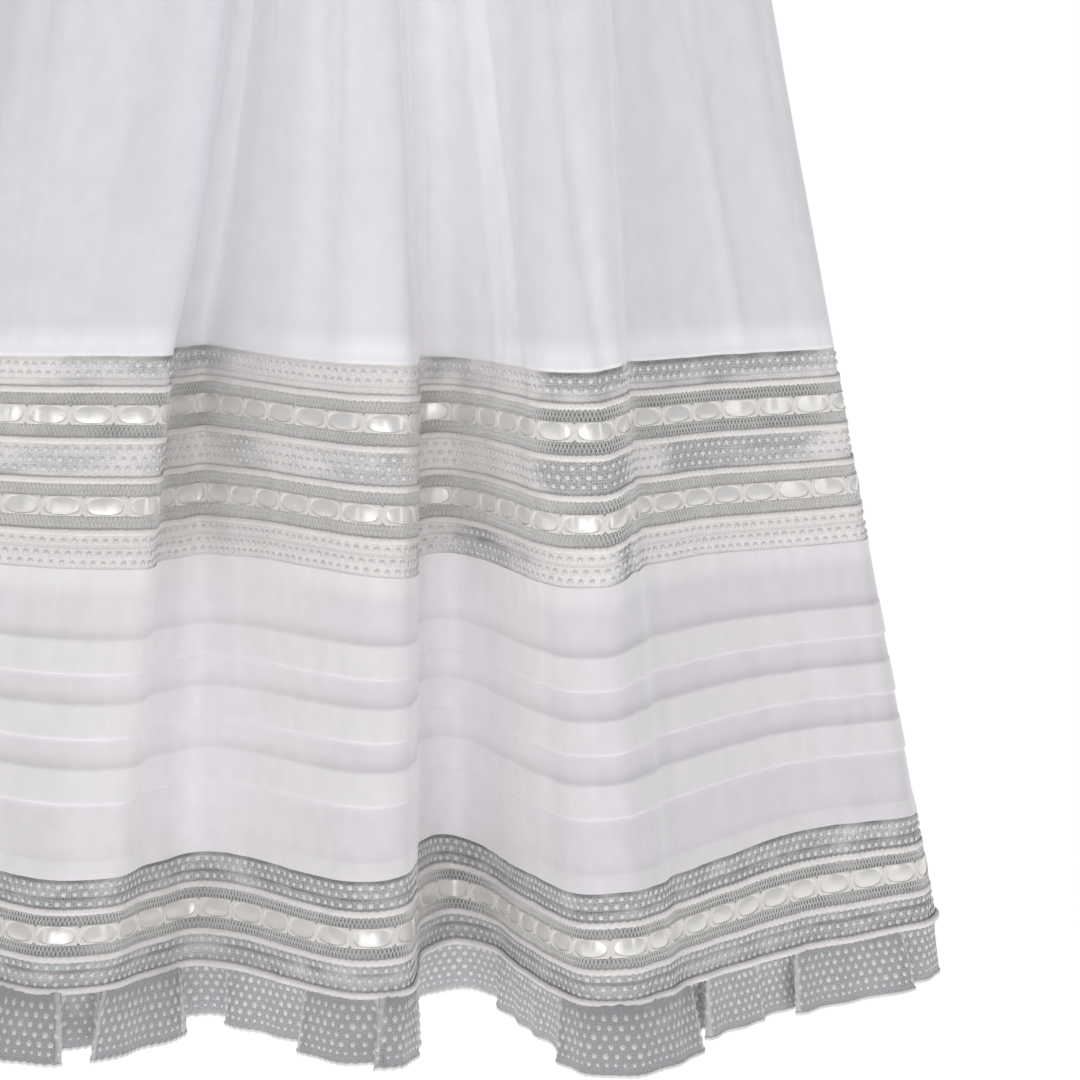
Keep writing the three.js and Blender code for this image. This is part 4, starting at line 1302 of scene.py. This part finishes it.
def button_place(climb):
    """Where a button stands on the lap, and which way it faces."""
    seat = on_bodice(0.0, climb, 1, BUTTON_SEAT)
    tip = on_bodice(0.0, climb, 1, BUTTON_SEAT + 1.0)
    turn = Vector((0, 0, 1)).rotation_difference(Vector(tip - seat)).to_matrix().to_4x4()
    return Matrix.Translation(Vector(seat) * MM) @ turn


# Half section of a button from its back to its dished face: distance from the middle and height
BUTTON_PROFILE = (
    (3.4, 0.0), (4.2, 0.25), (4.5, 0.9), (4.4, 1.5), (4.0, 2.0), (3.5, 2.2), (3.0, 2.05),
    (2.5, 1.6), (1.9, 1.45),
)
BUTTON_SIDES = 40
HOLE_PLACE, HOLE_RADIUS = 0.85, 0.5


def button(name, place, node_name):
    """A turned button with a rim, a dished face and four sewing holes."""
    points = [
        (r * math.cos(a) * MM, r * math.sin(a) * MM, h * MM)
        for r, h in BUTTON_PROFILE for a in circle(BUTTON_SIDES)
    ]
    rows = len(BUTTON_PROFILE)
    faces = grid_faces(rows, BUTTON_SIDES, True)[:, ::-1].tolist()
    faces.append(list(reversed(range(BUTTON_SIDES))))
    faces.append([(rows - 1) * BUTTON_SIDES + k for k in range(BUTTON_SIDES)])
    mesh = bpy.data.meshes.new(name)
    mesh.from_pydata(points, [], faces)
    piece = placed(name, mesh, MATERIALS["button"])
    drill(piece)
    mesh = piece.data
    mesh.transform(place)
    mesh.polygons.foreach_set("use_smooth", np.full(len(mesh.polygons), True))
    mesh.set_sharp_from_angle(angle=math.radians(38))
    declare(piece, node_name)


def drill(piece):
    """Cuts the four holes through a button."""
    holes = []
    for x, y in ((1, 1), (-1, 1), (-1, -1), (1, -1)):
        place = (x * HOLE_PLACE * MM, y * HOLE_PLACE * MM, 1 * MM)
        bpy.ops.mesh.primitive_cylinder_add(
            vertices=16, radius=HOLE_RADIUS * MM, depth=6 * MM, location=place
        )
        holes.append(bpy.context.object)
    for hole in holes:
        cut = piece.modifiers.new("hole", "BOOLEAN")
        cut.operation = "DIFFERENCE"
        cut.object = hole
        cut.solver = "EXACT"
    graph = bpy.context.evaluated_depsgraph_get()
    cut_mesh = bpy.data.meshes.new_from_object(piece.evaluated_get(graph))
    piece.modifiers.clear()
    piece.data = cut_mesh
    for hole in holes:
        bpy.data.objects.remove(hole)


FRONT_AIM = (0.05, 0.0, -0.70)
LIGHTS = (
    # name, place, aim, size, power in watts
    ("key", (-1.2, -3.1, 0.0), FRONT_AIM, (1.1, 1.4), 10.8),
    ("fill", (0.2, -3.4, -0.3), FRONT_AIM, (2.0, 1.4), 12.9),
    ("front", (0.05, -3.2, 0.15), FRONT_AIM, (0.2, 1.5), 5.0),
    ("right", (2.6, -1.65, 0.1), (0.1, 0.0, -0.70), (0.45, 1.5), 4.5),
    ("left", (-2.3, -2.2, 0.1), FRONT_AIM, (0.3, 1.5), 2.5),
    ("back", (0.9, 2.9, 0.2), (0.0, 0.0, -0.55), (2.2, 1.8), 17.0),
)
SEEN_WHITE = ((1.0, 1.0, 1.0, 1.0), 1.05)
SOFT_LIGHT = ((0.985, 0.985, 1.0, 1.0), 0.23)
FLOOR_REACH, FLOOR_Z = 150.0, -1.75


def place_looking(name, data, place, aim):
    """An object at a place, turned to look at another."""
    made = placed(name, data)
    made.location = place
    made.rotation_euler = (Vector(aim) - Vector(place)).to_track_quat("-Z", "Y").to_euler()
    return made


def camera():
    data = bpy.data.cameras.new("camera")
    data.lens = LENS
    data.sensor_width = SENSOR
    data.clip_start = 0.05
    data.clip_end = 400.0
    bpy.context.scene.camera = place_looking("camera", data, EYE, AIM)


def world():
    """Plain white where the camera sees it, and soft light elsewhere."""
    made = bpy.data.worlds.new("studio")
    bpy.context.scene.world = made
    made.use_nodes = True
    tree = made.node_tree
    tree.nodes.clear()
    seen, light = (
        node(tree, "ShaderNodeBackground", {"Color": colour, "Strength": strength}).outputs[0]
        for colour, strength in (SEEN_WHITE, SOFT_LIGHT)
    )
    to_camera = node(tree, "ShaderNodeLightPath").outputs["Is Camera Ray"]
    chosen = node(tree, "ShaderNodeMixShader", {0: to_camera, 1: light, 2: seen})
    output = node(tree, "ShaderNodeOutputWorld")
    tree.links.new(chosen.outputs[0], output.inputs[0])


def lights():
    for name, place, aim, size, power in LIGHTS:
        data = bpy.data.lights.new(name, "AREA")
        data.shape = "RECTANGLE"
        data.size, data.size_y = size
        data.energy = power
        place_looking(name, data, place, aim)


def floor():
    mesh = bpy.data.meshes.new("floor")
    corners = ((-1, -1), (1, -1), (1, 1), (-1, 1))
    points = [(x * FLOOR_REACH, y * FLOOR_REACH, FLOOR_Z) for x, y in corners]
    mesh.from_pydata(points, [], [(0, 1, 2, 3)])
    placed("floor", mesh, floor_material())


def gathering_cord(side):
    """The cord that the ruffle is gathered on."""
    cord = tube(half_turns(side, CORD_SPACING), RUFFLE_TOP_Z + 1.0, **GATHERING_CORD)
    return declare(build(f"gathering_cord_{side}", *cord, MATERIALS["thread"]))


def hang(pieces, flat):
    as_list(pieces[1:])


bpy.context.scene.view_settings.view_transform = "Standard"
bpy.context.scene.view_settings.look = "None"
camera()
world()
lights()
floor()
bodice()
for side in HALVES:
    upper = lace(side, "upper")
    lower = lace(side, "lower")
    skirt(side)
    tuck_panel(side)
    frill = ruffle(side)
    lower.append(gathering_cord(side))
    hang(upper, LACES["upper"]["flat"])
    hang(lower, LACES["lower"]["flat"])
    hang(frill, (1.05, 0.0275))
ribbon("upper", 0, "satin_upper_1", "ribbon_upper_1")
ribbon("upper", 1, "satin_upper_2", "ribbon_upper_2")
ribbon("lower", 0, "satin_lower", "ribbon_lower")
